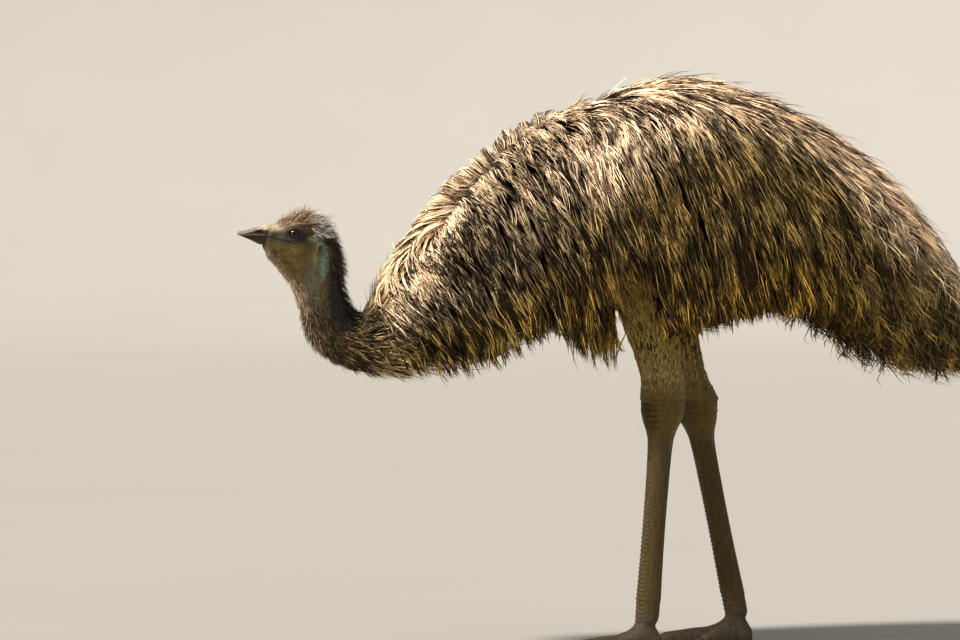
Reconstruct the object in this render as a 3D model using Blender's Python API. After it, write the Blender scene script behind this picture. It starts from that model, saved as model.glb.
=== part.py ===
"""A life-size emu, as a still model for a museum.

The bird stands on two feet with its neck stretched forward and low and its head held up.
Metres, +Z up. The bird faces -Y and its left side is +X. The origin is on the floor, under
the middle of the whole bird. The solids reach out to the tips of the feathers.
"""

import math
from collections import namedtuple

import bpy
import bmesh
from mathutils import Matrix, Vector

# Driving sizes of the living bird
BACK_HEIGHT = 1.04
SHANK_HALF_DEPTH = 0.0215
SHANK_HALF_WIDTH = 0.0175
DRUMSTICK_HALF_DEPTH = 0.0435
ANKLE_HEIGHT = 0.050
HOCK_RISE = 0.022
EYE_RADIUS = 0.0125
EYE_PLACE = (0.0225, -0.588, 0.749)
EAR_PLACE = (0.0325, -0.541, 0.723)
EAR_RADII = (0.004, 0.0065, 0.0085)
CLAW_LENGTH = 0.028
TOE_SPREAD = math.radians(33)

# The small wing lies on the flank. It is a leaf that slants down and back.
WING_LENGTH = 0.22
WING_WIDTH = 0.085
WING_MIDDLE = (-0.075, 0.735)
WING_SLANT = math.radians(-52)
WING_INNER_REACH = 0.183
WING_OUTER_REACH = 0.30

# Pieces that touch keep this much room between them
GAP = 0.0003

# One cross-section of the body: its points on the back and on the belly as (y, z), its half
# width, and how far up from the belly its widest level lies
Section = namedtuple("Section", "back belly half_width widest")

# From the bill's base to the tips of the tail. The sections fan round the bend of the neck.
SPINE = {
    "bill_base": Section((-0.629, 0.767), (-0.642, 0.728), 0.0190, 0.55),
    "lore": Section((-0.611, 0.773), (-0.633, 0.712), 0.0250, 0.60),
    "eye": Section((-0.585, 0.781), (-0.623, 0.697), 0.0330, 0.62),
    "crown": Section((-0.559, 0.784), (-0.611, 0.679), 0.0355, 0.58),
    "hind_head": Section((-0.536, 0.774), (-0.599, 0.661), 0.0350, 0.54),
    "nape": Section((-0.517, 0.752), (-0.589, 0.645), 0.0330, 0.52),
    "neck_top": Section((-0.500, 0.700), (-0.577, 0.615), 0.0345, 0.50),
    "neck_mid": Section((-0.489, 0.645), (-0.567, 0.580), 0.0370, 0.50),
    "bend_front": Section((-0.480, 0.620), (-0.550, 0.548), 0.0400, 0.48),
    "bend_low": Section((-0.466, 0.608), (-0.517, 0.521), 0.0450, 0.48),
    "bend_back": Section((-0.450, 0.615), (-0.477, 0.503), 0.0530, 0.48),
    "neck_root": Section((-0.426, 0.663), (-0.424, 0.489), 0.0720, 0.47),
    "neck_base": Section((-0.386, 0.733), (-0.373, 0.479), 0.0980, 0.46),
    "shoulder": Section((-0.335, 0.805), (-0.310, 0.477), 0.1280, 0.45),
    "breast": Section((-0.270, 0.876), (-0.236, 0.497), 0.1610, 0.43),
    "chest": Section((-0.190, 0.930), (-0.155, 0.545), 0.1900, 0.42),
    "keel": Section((-0.097, 0.979), (-0.075, 0.553), 0.2130, 0.41),
    "saddle": Section((0.013, 1.022), (0.010, 0.538), 0.2290, 0.41),
    "back": Section((0.122, BACK_HEIGHT), (0.118, 0.555), 0.2360, 0.41),
    "hip": Section((0.232, 1.014), (0.229, 0.572), 0.2330, 0.41),
    "rump": Section((0.342, 0.969), (0.325, 0.565), 0.2170, 0.42),
    "tail_root": Section((0.442, 0.906), (0.406, 0.545), 0.1910, 0.43),
    "tail_top": Section((0.525, 0.836), (0.466, 0.512), 0.1660, 0.44),
    "tail_middle": Section((0.589, 0.753), (0.522, 0.486), 0.1400, 0.45),
    "tail_fall": Section((0.640, 0.672), (0.580, 0.476), 0.1130, 0.46),
    "tail_ends": Section((0.676, 0.586), (0.637, 0.475), 0.0800, 0.48),
    "tail_tips": Section((0.690, 0.520), (0.676, 0.484), 0.0360, 0.50),
}
SPINE_NAMES = list(SPINE)

# Superellipse powers of the sections: 2 is an ellipse, more is boxier
HEAD_SQUARENESS = 2.15
NECK_SQUARENESS = 2.0
BODY_TOP_SQUARENESS = 1.95
BODY_LOW_SQUARENESS = 2.6
SPINE_STEPS = 2

# Upright sections of the bill from the face to the tip: heights of the ridge, the mouth line
# and the chin, and the half width
BillSection = namedtuple("BillSection", "y ridge mouth chin half_width")
BILL = [
    BillSection(-0.624, 0.7690, 0.7430, 0.7240, 0.0190),
    BillSection(-0.636, 0.7665, 0.7440, 0.7270, 0.0188),
    BillSection(-0.648, 0.7625, 0.7455, 0.7320, 0.0178),
    BillSection(-0.660, 0.7585, 0.7470, 0.7380, 0.0157),
    BillSection(-0.672, 0.7555, 0.7485, 0.7430, 0.0125),
    BillSection(-0.681, 0.7535, 0.7495, 0.7465, 0.0088),
    BillSection(-0.686, 0.7520, 0.7500, 0.7482, 0.0045),
]
BILL_SQUARENESS = 2.3

# Each leg's line from under the coat to the hock and the ankle, as distance from the middle,
# place along the bird and height, and the angle by which its foot turns out
LegLine = namedtuple("LegLine", "side top hock ankle turn_out")
LEGS = {
    "left": LegLine(1, (0.100, 0.066, 0.640), (0.094, 0.071, 0.432), (0.090, 0.043),
                    math.radians(4)),
    "right": LegLine(-1, (0.100, 0.090, 0.640), (0.094, 0.173, 0.428), (0.090, 0.250),
                     math.radians(6)),
}

# One level section of a leg
Level = namedtuple("Level", "x y z half_depth half_width")

# Toe sections from the heel forward: place along the toe, half width and height of the top
ToeSection = namedtuple("ToeSection", "along half_width top")
MIDDLE_TOE = [
    ToeSection(-0.027, 0.0110, 0.024),
    ToeSection(-0.020, 0.0175, 0.040),
    ToeSection(-0.006, 0.0215, 0.053),
    ToeSection(0.016, 0.0220, 0.053),
    ToeSection(0.032, 0.0200, 0.041),
    ToeSection(0.055, 0.0165, 0.031),
    ToeSection(0.080, 0.0160, 0.029),
    ToeSection(0.105, 0.0145, 0.025),
    ToeSection(0.128, 0.0130, 0.022),
    ToeSection(0.142, 0.0100, 0.018),
]
SIDE_TOE = [
    ToeSection(0.004, 0.0140, 0.038),
    ToeSection(0.024, 0.0150, 0.033),
    ToeSection(0.045, 0.0140, 0.027),
    ToeSection(0.065, 0.0128, 0.024),
    ToeSection(0.082, 0.0112, 0.020),
    ToeSection(0.092, 0.0088, 0.016),
]
INNER_TOE_SCALE = 0.92
OUTER_TOE_SCALE = 1.0

COLOURS = {
    "feathers": ((0.21, 0.155, 0.095, 1.0), 0.85),
    "neck_hair": ((0.045, 0.036, 0.030, 1.0), 0.80),
    "face": ((0.15, 0.12, 0.08, 1.0), 0.75),
    "bill_horn": ((0.055, 0.05, 0.045, 1.0), 0.40),
    "eye_dark": ((0.045, 0.018, 0.008, 1.0), 0.08),
    "leg_feathers": ((0.27, 0.21, 0.12, 1.0), 0.85),
    "leg_scales": ((0.17, 0.13, 0.095, 1.0), 0.60),
    "claw_horn": ((0.035, 0.03, 0.027, 1.0), 0.35),
}


def clear_scene():
    """Start from a scene with no objects in it."""
    for old in list(bpy.data.objects):
        bpy.data.objects.remove(old, do_unlink=True)


def new_collection(name):
    """Make a collection in the scene."""
    made = bpy.data.collections.new(name)
    bpy.context.scene.collection.children.link(made)
    return made


def material(name):
    """Return the material of this name, made once."""
    made = bpy.data.materials.get(name)
    if made is None:
        colour, roughness = COLOURS[name]
        made = bpy.data.materials.new(name)
        made.use_nodes = True
        shader = made.node_tree.nodes["Principled BSDF"]
        shader.inputs["Base Color"].default_value = colour
        shader.inputs["Roughness"].default_value = roughness
        shader.inputs["Metallic"].default_value = 0.0
        made.diffuse_color = colour
    return made


def add_object(name, mesh, collection, slot):
    """Put a mesh in the scene as a smooth-shaded sub-part."""
    made = bpy.data.objects.new(name, mesh)
    collection.objects.link(made)
    mesh.materials.append(material(slot))
    mesh.shade_smooth()
    mesh.set_sharp_from_angle(angle=math.radians(40))
    return made


def as_cutter(obj):
    """Keep an object only as a guide for cutting."""
    obj.hide_render = True
    obj.display_type = "WIRE"
    return obj


def loft(name, rings):
    """Join rings of as many points each into a closed mesh with flat ends."""
    shell = bmesh.new()
    loops = [[shell.verts.new(point) for point in ring] for ring in rings]
    count = len(loops[0])
    for first, second in zip(loops, loops[1:]):
        for index in range(count):
            after = (index + 1) % count
            shell.faces.new((first[index], first[after], second[after], second[index]))
    shell.faces.new(loops[0][::-1])
    shell.faces.new(loops[-1])
    bmesh.ops.recalc_face_normals(shell, faces=shell.faces)
    mesh = bpy.data.meshes.new(name)
    shell.to_mesh(mesh)
    shell.free()
    return mesh


def hermite(before, start, end, after, share):
    """Smooth curve from start to end that heads for their neighbours."""
    slope_in = (end - before) / 2
    slope_out = (after - start) / 2
    square = share * share
    cube = square * share
    return ((2 * cube - 3 * square + 1) * start + (cube - 2 * square + share) * slope_in
            + (3 * square - 2 * cube) * end + (cube - square) * slope_out)


def smooth_rows(rows, steps):
    """Fill in rows of numbers between the given ones, with as many steps in each gap."""
    padded = [rows[0]] + rows + [rows[-1]]
    filled = []
    for index in range(len(rows) - 1):
        for step in range(steps):
            share = step / steps
            filled.append([hermite(*column, share) for column in zip(*padded[index:index + 4])])
    filled.append(list(rows[-1]))
    return filled


def superellipse(angle, power):
    """Point at an angle on a rounded box that fits in the unit square."""
    across = math.cos(angle)
    up = math.sin(angle)
    bend = 2 / power
    return (math.copysign(abs(across) ** bend, across), math.copysign(abs(up) ** bend, up))


def body_ring(row, points, top_power, low_power, shift=0.0):
    """Ring of one body section, moved along the body by shift."""
    back = Vector((0, row[0], row[1]))
    belly = Vector((0, row[2], row[3]))
    half_width, widest = row[4], row[5]
    up = back - belly
    middle = belly + up * widest
    travel = up.normalized().cross(Vector((1, 0, 0)))
    ring = []
    for index in range(points):
        angle = math.pi / 2 + 2 * math.pi * index / points
        power = top_power if math.sin(angle) >= 0 else low_power
        across, high = superellipse(angle, power)
        reach = (1 - widest) if high >= 0 else widest
        point = middle + up * (high * reach) + travel * shift
        ring.append(point + Vector((half_width * across, 0, 0)))
    return ring


def body_rows(steps):
    """Every section of the spine as plain numbers, filled in smoothly."""
    rows = [[*part.back, *part.belly, part.half_width, part.widest] for part in SPINE.values()]
    return smooth_rows(rows, steps)


def body_piece(name, first, last, points, collection, slot, top_power, low_power):
    """Body between two named sections, half a gap short of each."""
    rows = body_rows(SPINE_STEPS)
    start = SPINE_NAMES.index(first) * SPINE_STEPS
    end = SPINE_NAMES.index(last) * SPINE_STEPS
    rings = []
    for index in range(start, end + 1):
        shift = 0.0
        if index == start:
            shift = GAP / 2
        if index == end:
            shift = -GAP / 2
        rings.append(body_ring(rows[index], points, top_power, low_power, shift))
    return add_object(name, loft(name, rings), collection, slot)


def cut(target, cutter, operation="DIFFERENCE"):
    """Cut a sub-part with a Boolean modifier."""
    tool = target.modifiers.new("cut_" + cutter.name, "BOOLEAN")
    tool.operation = operation
    tool.solver = "EXACT"
    tool.object = cutter
    return tool


def fattened_copy(source, name, extra, collection):
    """A cutter the shape of another sub-part, larger all over by extra."""
    mesh = source.data.copy()
    mesh.name = name
    shell = bmesh.new()
    shell.from_mesh(mesh)
    shell.normal_update()
    for vert in shell.verts:
        vert.co += vert.normal * extra * vert.calc_shell_factor()
    shell.to_mesh(mesh)
    shell.free()
    made = bpy.data.objects.new(name, mesh)
    collection.objects.link(made)
    return as_cutter(made)


def ball(name, centre, radii, collection, segments, rings):
    """An ellipsoid from a UV sphere."""
    shell = bmesh.new()
    bmesh.ops.create_uvsphere(shell, u_segments=segments, v_segments=rings, radius=1.0)
    place = Matrix.Translation(centre) @ Matrix.Diagonal((*radii, 1.0))
    bmesh.ops.rotate(shell, verts=shell.verts, matrix=Matrix.Rotation(math.pi / 2, 3, "Y"))
    bmesh.ops.transform(shell, matrix=place, verts=shell.verts)
    mesh = bpy.data.meshes.new(name)
    shell.to_mesh(mesh)
    shell.free()
    made = bpy.data.objects.new(name, mesh)
    collection.objects.link(made)
    return made


def build_head(parts, cutters):
    """Head with its two eyes and ears let into it."""
    head = body_piece("head", "bill_base", "neck_top", 20, parts, "face",
                      HEAD_SQUARENESS, HEAD_SQUARENESS)
    for side, sign in (("left", 1), ("right", -1)):
        eye_place = Vector(EYE_PLACE) * Vector((sign, 1, 1))
        eye = ball("eye_" + side, eye_place, (EYE_RADIUS,) * 3, parts, 14, 9)
        eye.data.materials.append(material("eye_dark"))
        eye.data.shade_smooth()
        socket = ball("eye_socket_" + side, eye_place, (EYE_RADIUS + GAP,) * 3, cutters, 14, 9)
        cut(head, as_cutter(socket))
        ear_place = Vector(EAR_PLACE) * Vector((sign, 1, 1))
        ear = ball("ear_" + side, ear_place, EAR_RADII, parts, 10, 6)
        ear.data.materials.append(material("face"))
        ear.data.shade_smooth()
        hollow = ball("ear_hollow_" + side, ear_place, [size + GAP for size in EAR_RADII],
                      cutters, 10, 6)
        cut(head, as_cutter(hollow))
    return head


def bill_ring(part, upper, points):
    """Half-round section of the upper or lower bill, flat at the mouth."""
    edge = part.ridge if upper else part.chin
    mouth = part.mouth + (GAP / 2 if upper else -GAP / 2)
    ring = []
    for index in range(points):
        across, high = superellipse(math.pi * index / (points - 1), BILL_SQUARENESS)
        ring.append(Vector((part.half_width * across, part.y, mouth + (edge - mouth) * high)))
    return ring


def build_bill(parts, cutters, head):
    """Upper and lower bill, cut back to the face that they grow from."""
    face = fattened_copy(head, "face_front", GAP, cutters)
    sections = [BillSection(*row) for row in smooth_rows([list(part) for part in BILL], 2)]
    for name, upper in (("bill_upper", True), ("bill_lower", False)):
        rings = [bill_ring(part, upper, 11) for part in sections]
        cut(add_object(name, loft(name, rings), parts, "bill_horn"), face)


def wing_block(name, side, extra, collection):
    """A slanting leaf-shaped block that marks the small wing on the flank."""
    points = 18
    taper = 0.35
    along = Vector((0, math.cos(WING_SLANT), math.sin(WING_SLANT)))
    across = Vector((0, -along.z, along.y))
    rings = []
    for reach in (WING_INNER_REACH - extra, WING_OUTER_REACH):
        ring = []
        for index in range(points):
            angle = 2 * math.pi * index / points
            length = (WING_LENGTH / 2 + extra) * math.cos(angle)
            width = (WING_WIDTH / 2 + extra) * math.sin(angle) * (1 - taper * math.cos(angle))
            middle = Vector((side * reach, *WING_MIDDLE))
            ring.append(middle + along * length + across * width)
        rings.append(ring)
    made = bpy.data.objects.new(name, loft(name, rings))
    collection.objects.link(made)
    return as_cutter(made)


def build_wings(parts, cutters, trunk):
    """The two small wings that lie against the flanks."""
    whole = trunk.data.copy()
    for side, sign in (("left", 1), ("right", -1)):
        wing = add_object("wing_" + side, whole.copy(), parts, "feathers")
        cut(wing, wing_block("wing_shape_" + side, sign, 0.0, cutters), "INTERSECT")
        cut(trunk, wing_block("wing_bed_" + side, sign, GAP, cutters))


def between(start, end, share):
    """Value part of the way from start to end."""
    return start + (end - start) * share


def leg_loft(name, levels, points, collection, slot):
    """Leg piece through level sections."""
    rings = []
    for row in smooth_rows([list(level) for level in levels], 2):
        level = Level(*row)
        ring = []
        for index in range(points):
            across, forward = superellipse(2 * math.pi * index / points, 2.0)
            ring.append(Vector((level.x + level.half_width * across,
                                level.y - level.half_depth * forward, level.z)))
        rings.append(ring)
    return add_object(name, loft(name, rings), collection, slot)


def build_drumstick(parts, side, line, belly):
    """The feathered upper leg, from under the coat to the hock."""
    top_x, top_y, top_z = line.top
    hock_x, hock_y, hock_z = line.hock
    deep = DRUMSTICK_HALF_DEPTH
    plan = ((0.0, deep * 1.45, 0.058), (0.45, deep * 1.12, 0.043), (0.75, deep, 0.036),
            (1.0, deep * 0.96, 0.031))
    levels = []
    for share, half_depth, half_width in plan:
        levels.append(Level(line.side * between(top_x, hock_x, share),
                            between(top_y, hock_y, share),
                            between(top_z, hock_z + HOCK_RISE, share),
                            half_depth, half_width))
    cut(leg_loft("drumstick_" + side, levels, 16, parts, "leg_feathers"), belly)


def build_shank(parts, side, line):
    """The bare hock and scaly shank down to the foot."""
    hock_x, hock_y, hock_z = line.hock
    ankle_x, ankle_y = line.ankle
    end_z = ANKLE_HEIGHT + GAP
    deep = SHANK_HALF_DEPTH
    wide = SHANK_HALF_WIDTH
    plan = (
        (hock_z + HOCK_RISE - GAP, 0.0400, 0.0285),
        (hock_z, 0.0405, 0.0290),
        (hock_z - 0.022, 0.0340, 0.0265),
        (hock_z - 0.050, deep * 1.12, wide * 1.15),
        (hock_z - 0.110, deep, wide),
        (hock_z - 0.210, deep * 0.95, wide * 0.97),
        (hock_z - 0.300, deep, wide * 1.03),
        (end_z + 0.024, deep * 1.06, wide * 1.2),
        (end_z, deep, wide * 1.32),
    )
    levels = []
    for z, half_depth, half_width in plan:
        share = max(0.0, (hock_z - z) / (hock_z - end_z))
        levels.append(Level(line.side * between(hock_x, ankle_x, share),
                            between(hock_y, ankle_y, share), z, half_depth, half_width))
    leg_loft("shank_" + side, levels, 16, parts, "leg_scales")


def toe_ring(part, points, ceiling):
    """Upright section of a toe, flat under the sole."""
    ring = []
    for index in range(points):
        angle = 2 * math.pi * (index + 0.5) / points
        across, up = superellipse(angle, 2.4)
        centre = part.top * 0.42
        high = centre + up * (part.top - centre if up >= 0 else centre * 1.12)
        high = min(max(high, 0.0), ceiling)
        ring.append(Vector((part.half_width * across, -part.along, high)))
    return ring


def toe_place(line, angle):
    """Matrix from a toe pointing along -Y at the origin to its place on the floor."""
    x, y = line.ankle
    return Matrix.Translation((line.side * x, y, 0)) @ Matrix.Rotation(angle, 4, "Z")


def build_toe(parts, name, sections, scale, place, ceiling):
    """One toe, resting on its flat sole."""
    scaled = [ToeSection(part.along * scale, part.half_width, part.top) for part in sections]
    rows = smooth_rows([list(part) for part in scaled], 2)
    rings = [toe_ring(ToeSection(*row), 12, ceiling) for row in rows]
    mesh = loft(name, [[place @ point for point in ring] for ring in rings])
    return add_object(name, mesh, parts, "leg_scales")


def build_claw(parts, name, end, place):
    """A blunt claw that carries on from the toe's end."""
    rings = []
    steps = 6
    for step in range(steps + 1):
        share = step / steps
        width = end.half_width * 0.82 * math.sqrt(max(1 - share ** 1.6, 0.012))
        top = between(end.top * 0.92, 0.0050, share ** 1.25)
        low = between(0.0022, 0.0012, share)
        middle = (top + low) / 2
        along = end.along + GAP + CLAW_LENGTH * share
        ring = []
        for index in range(8):
            across, up = superellipse(2 * math.pi * (index + 0.5) / 8, 2.0)
            ring.append(Vector((width * across, -along, middle + up * (top - low) / 2)))
        rings.append(ring)
    mesh = loft(name, [[place @ point for point in ring] for ring in rings])
    add_object(name, mesh, parts, "claw_horn")


def build_foot(parts, cutters, side, line):
    """Three toes with their claws."""
    heading = line.side * line.turn_out
    place = toe_place(line, heading)
    middle = build_toe(parts, "toe_middle_" + side, MIDDLE_TOE, 1.0, place, ANKLE_HEIGHT)
    build_claw(parts, "claw_middle_" + side, MIDDLE_TOE[-1], place)
    room = fattened_copy(middle, "toe_room_" + side, GAP, cutters)
    for which, sign, scale in (("inner", 1, INNER_TOE_SCALE), ("outer", -1, OUTER_TOE_SCALE)):
        aside = toe_place(line, heading - sign * line.side * TOE_SPREAD)
        name = which + "_" + side
        toe = build_toe(parts, "toe_" + name, SIDE_TOE, scale, aside, ANKLE_HEIGHT)
        cut(toe, room)
        last = SIDE_TOE[-1]
        build_claw(parts, "claw_" + name, last._replace(along=last.along * scale), aside)


def set_origin_on_floor(collections):
    """Move everything so that the origin lies under the middle of the bird, on the floor."""
    bpy.context.view_layer.update()
    depsgraph = bpy.context.evaluated_depsgraph_get()
    corners = []
    for obj in collections[0].objects:
        seen = obj.evaluated_get(depsgraph)
        corners += [seen.matrix_world @ Vector(corner) for corner in seen.bound_box]
    low = Vector([min(point[axis] for point in corners) for axis in range(3)])
    high = Vector([max(point[axis] for point in corners) for axis in range(3)])
    shift = Matrix.Translation((-(low.x + high.x) / 2, -(low.y + high.y) / 2, -low.z))
    moved = set()
    for collection in collections:
        for obj in collection.objects:
            if obj.data.name not in moved:
                obj.data.transform(shift)
                moved.add(obj.data.name)


def build():
    """The whole bird."""
    clear_scene()
    parts = new_collection("emu")
    cutters = new_collection("cutters")
    head = build_head(parts, cutters)
    build_bill(parts, cutters, head)
    body_piece("neck_upper", "neck_top", "bend_back", 18, parts, "neck_hair",
               NECK_SQUARENESS, NECK_SQUARENESS)
    body_piece("neck_lower", "bend_back", "neck_base", 22, parts, "feathers",
               NECK_SQUARENESS, NECK_SQUARENESS)
    trunk = body_piece("trunk", "neck_base", "tail_root", 28, parts, "feathers",
                       BODY_TOP_SQUARENESS, BODY_LOW_SQUARENESS)
    body_piece("tail", "tail_root", "tail_tips", 24, parts, "feathers",
               BODY_TOP_SQUARENESS, BODY_LOW_SQUARENESS)
    belly = fattened_copy(trunk, "belly_room", GAP, cutters)
    build_wings(parts, cutters, trunk)
    for side, line in LEGS.items():
        build_drumstick(parts, side, line, belly)
        build_shank(parts, side, line)
        build_foot(parts, cutters, side, line)
    set_origin_on_floor((parts, cutters))


build()
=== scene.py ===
# %% [markdown]
# # An emu, life size, as a museum would mount it
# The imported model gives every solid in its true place, in metres, with +Z up. The bird faces -Y
# and its left side is +X. Those solids reach out to the tips of the feathers, so they serve here
# as the outline of the coat. This lesson builds what a visitor sees: a skin inside that outline,
# the feathers that grow on it, and the eyes, bill and claws.

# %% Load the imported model
import math

import bmesh
import bpy
import numpy as np
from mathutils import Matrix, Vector
from mathutils.bvhtree import BVHTree


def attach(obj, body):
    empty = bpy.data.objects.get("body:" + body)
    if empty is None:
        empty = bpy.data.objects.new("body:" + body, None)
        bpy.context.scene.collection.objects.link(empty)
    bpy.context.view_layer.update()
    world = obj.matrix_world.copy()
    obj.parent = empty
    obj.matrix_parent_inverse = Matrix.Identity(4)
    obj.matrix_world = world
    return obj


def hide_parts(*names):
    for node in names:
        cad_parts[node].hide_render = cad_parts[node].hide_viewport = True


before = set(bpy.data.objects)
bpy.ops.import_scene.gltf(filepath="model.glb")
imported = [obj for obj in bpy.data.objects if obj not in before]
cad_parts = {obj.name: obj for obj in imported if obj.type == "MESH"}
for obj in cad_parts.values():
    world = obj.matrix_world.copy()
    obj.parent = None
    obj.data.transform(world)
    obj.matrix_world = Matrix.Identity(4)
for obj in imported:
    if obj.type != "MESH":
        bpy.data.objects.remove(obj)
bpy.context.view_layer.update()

# %% [markdown]
# ## Camera
# The photograph was taken almost square to the bird's left side, with a long lens held a little
# below the middle of its body. A long lens far away keeps the near and the far leg the same
# size, which is why the camera stands 9.6 m off rather than close with a wide lens.

# %% Place the camera
CAMERA_TURN = math.radians(80)
CAMERA_DISTANCE = 9.6
CAMERA_HEIGHT = 0.7
LOOK_AT = Vector((0.0, -0.2475, 0.595))

camera_data = bpy.data.cameras.new("camera")
camera_data.lens = 199.8
camera_data.sensor_width = 36.0
camera_data.clip_end = 100.0
camera = bpy.data.objects.new("camera", camera_data)
bpy.context.scene.collection.objects.link(camera)
camera.location = (
    math.sin(CAMERA_TURN) * CAMERA_DISTANCE,
    LOOK_AT.y - math.cos(CAMERA_TURN) * CAMERA_DISTANCE,
    CAMERA_HEIGHT,
)
camera.rotation_euler = (LOOK_AT - camera.location).to_track_quat("-Z", "Y").to_euler()
bpy.context.scene.camera = camera
print("camera stands at", tuple(round(c, 3) for c in camera.location))

# %% [markdown]
# ## Numbers on meshes
# Thousands of feathers are made at once, so points are handled as arrays. These helpers copy a
# mesh's points out as an array and back in, and turn a distance into a smooth share.

# %% Read and write meshes as arrays
SIDES = {"left": 1, "right": -1}
TOES = ("inner", "middle", "outer")


def rows_of(items, name, width=3):
    """One property of many vertices or faces, as rows."""
    flat = np.empty(len(items) * width)
    items.foreach_get(name, flat)
    return flat.reshape(-1, width)


def surface(mesh):
    """The vertices of a mesh, and the direction in which it faces at each."""
    return rows_of(mesh.vertices, "co"), rows_of(mesh.vertex_normals, "vector")


def set_points(mesh, points):
    """Move the vertices of a mesh to the given rows."""
    mesh.vertices.foreach_set("co", np.ascontiguousarray(points).ravel())
    mesh.update()


def paint(mesh, name, colours):
    """Store four numbers for each vertex under a name that the finishes read."""
    layer = mesh.color_attributes.new(name, "FLOAT_COLOR", "POINT")
    layer.data.foreach_set("color", np.ascontiguousarray(colours, dtype=np.float32).ravel())


def show(mesh, name, finish=None):
    """Put a mesh in the scene under a name, with its finish if it has one."""
    if finish:
        mesh.materials.clear()
        mesh.materials.append(finish)
        mesh.shade_smooth()
    piece = bpy.data.objects.new(name, mesh)
    bpy.context.scene.collection.objects.link(piece)
    return piece


# %% Smooth shares
def unit(vectors):
    """Scale each vector to a length of one."""
    return vectors / np.maximum(np.linalg.norm(vectors, axis=-1, keepdims=True), 1e-9)


def step_up(values, low, high):
    """Rise smoothly from 0 at low to 1 at high."""
    share = np.clip((values - low) / (high - low), 0, 1)
    return share * share * (3 - 2 * share)


def step_down(values, low, high):
    """Fall smoothly from 1 at low to 0 at high."""
    return step_up(-values, -high, -low)


def band(values, start, full, fading, end):
    """Rise from start to full and fall again from fading to end."""
    return step_up(values, start, full) * step_down(values, fading, end)


def bell(values, reach):
    """Be 1 at zero and fade out on both sides over a reach."""
    return np.exp(-(values / reach) ** 2)


# %% [markdown]
# ## Fusing solids
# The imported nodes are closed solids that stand 0.3 mm apart. A voxel remesh wraps one new surface
# round any number of them, as if they were dipped, so the joints between them vanish. Their faces
# come with split corners, which are welded first so that the inside is known.

# %% Weld and fuse nodes
OUTLINE_VOXEL = 0.006
SKIN_VOXEL = 0.0023
BILL_VOXEL = 0.0007
CLAW_VOXEL = 0.0008


def form_of(mesh):
    """A mesh as a bmesh, whose parts can be worked on."""
    form = bmesh.new()
    form.from_mesh(mesh)
    return form


def keep(form, mesh):
    """Write a bmesh into a mesh and let it go."""
    form.to_mesh(mesh)
    form.free()
    return mesh


def welded(names):
    """The welded copies of some nodes, each as a bmesh."""
    forms = [form_of(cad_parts[name].data) for name in names]
    for form in forms:
        bmesh.ops.remove_doubles(form, verts=form.verts, dist=1e-5)
    return forms


def fuse(name, forms, voxel, smoothing):
    """Wrap one smooth skin round closed forms, with faces about one voxel across."""
    joined = bmesh.new()
    for form in forms:
        part = keep(form, bpy.data.meshes.new("part"))
        joined.from_mesh(part)
        bpy.data.meshes.remove(part)
    wrapped = show(keep(joined, bpy.data.meshes.new(name + "_rough")), name + "_rough")
    remesh = wrapped.modifiers.new("Fuse", "REMESH")
    remesh.mode = "VOXEL"
    remesh.voxel_size = voxel
    even = wrapped.modifiers.new("Even", "SMOOTH")
    even.factor = 0.5
    even.iterations = smoothing
    mesh = with_modifiers(wrapped)
    mesh.name = name
    return mesh


def with_modifiers(piece):
    """The mesh that a piece's modifiers make. The piece itself goes."""
    view_layer = bpy.context.evaluated_depsgraph_get()
    mesh = bpy.data.meshes.new_from_object(piece.evaluated_get(view_layer))
    bpy.data.objects.remove(piece)
    return mesh


def search_tree(mesh):
    """A tree that finds the nearest place on a mesh."""
    form = form_of(mesh)
    tree = BVHTree.FromBMesh(form)
    form.free()
    return tree


def triangles(mesh):
    """How many triangles a mesh has."""
    mesh.calc_loop_triangles()
    return len(mesh.loop_triangles)


# %% Wrap the outline of the coat
BODY_NODES = ["trunk", "tail", "wing_left", "wing_right", "neck_lower"]
outline = fuse("outline", welded(BODY_NODES + ["neck_upper"]), OUTLINE_VOXEL, 12)
outline_tree = search_tree(outline)
print("outline of the coat:", len(outline.polygons), "faces")

# %% [markdown]
# ## How deep the coat is
# On a living emu the body is much slimmer than the bird looks. The loose double feathers add
# about 5 cm at the flanks and 7 cm under the belly, and the whole tail is feathers. The heights
# and widths of the outline are measured by rays at each step along the bird, and the skin is the
# outline drawn in by the coat's depth there.

# %% Measure the outline along the bird
stations = np.arange(-0.5, 0.695, 0.01)


def ray_hit(start, direction, axis, otherwise):
    """Where a ray meets the outline, along one axis."""
    place = outline_tree.ray_cast(Vector(start), Vector(direction))[0]
    return otherwise if place is None else place[axis]


tops, floors, widths = [], [], []
for station in stations:
    previous = (tops[-1], floors[-1]) if tops else (0.6, 0.5)
    top = ray_hit((0, station, 2), (0, 0, -1), 2, previous[0])
    low = ray_hit((0, station, 0), (0, 0, 1), 2, previous[1])
    reach = [ray_hit((1, station, low + (top - low) * share), (-1, 0, 0), 0, 0.0)
             for share in np.linspace(0.15, 0.85, 12)]
    tops.append(top)
    floors.append(low)
    widths.append(max(max(reach), 0.02))
print("widest place of the coat:", round(2 * max(widths), 3), "m")


def top_at(y):
    """The height of the coat's top at places along the bird."""
    return np.interp(y, stations, tops)


def floor_at(y):
    """The height of the coat's underside at places along the bird."""
    return np.interp(y, stations, floors)


# %% Draw the body in to its skin
PLACES = [-0.48, -0.4, -0.3, -0.1, 0.35, 0.69]
SIDE_DEPTH = [0.006, 0.018, 0.035, 0.05, 0.05, 0.06]
TOP_DEPTH = [0.006, 0.015, 0.022, 0.03, 0.035, 0.05]
BELLY_DEPTH = [0.006, 0.02, 0.04, 0.075, 0.075, 0.075]
TAIL_START = 0.28
TAIL_SHARE = 0.55
TAIL_LIFT = 0.07
LEAST_SHARE = 0.25


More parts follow.
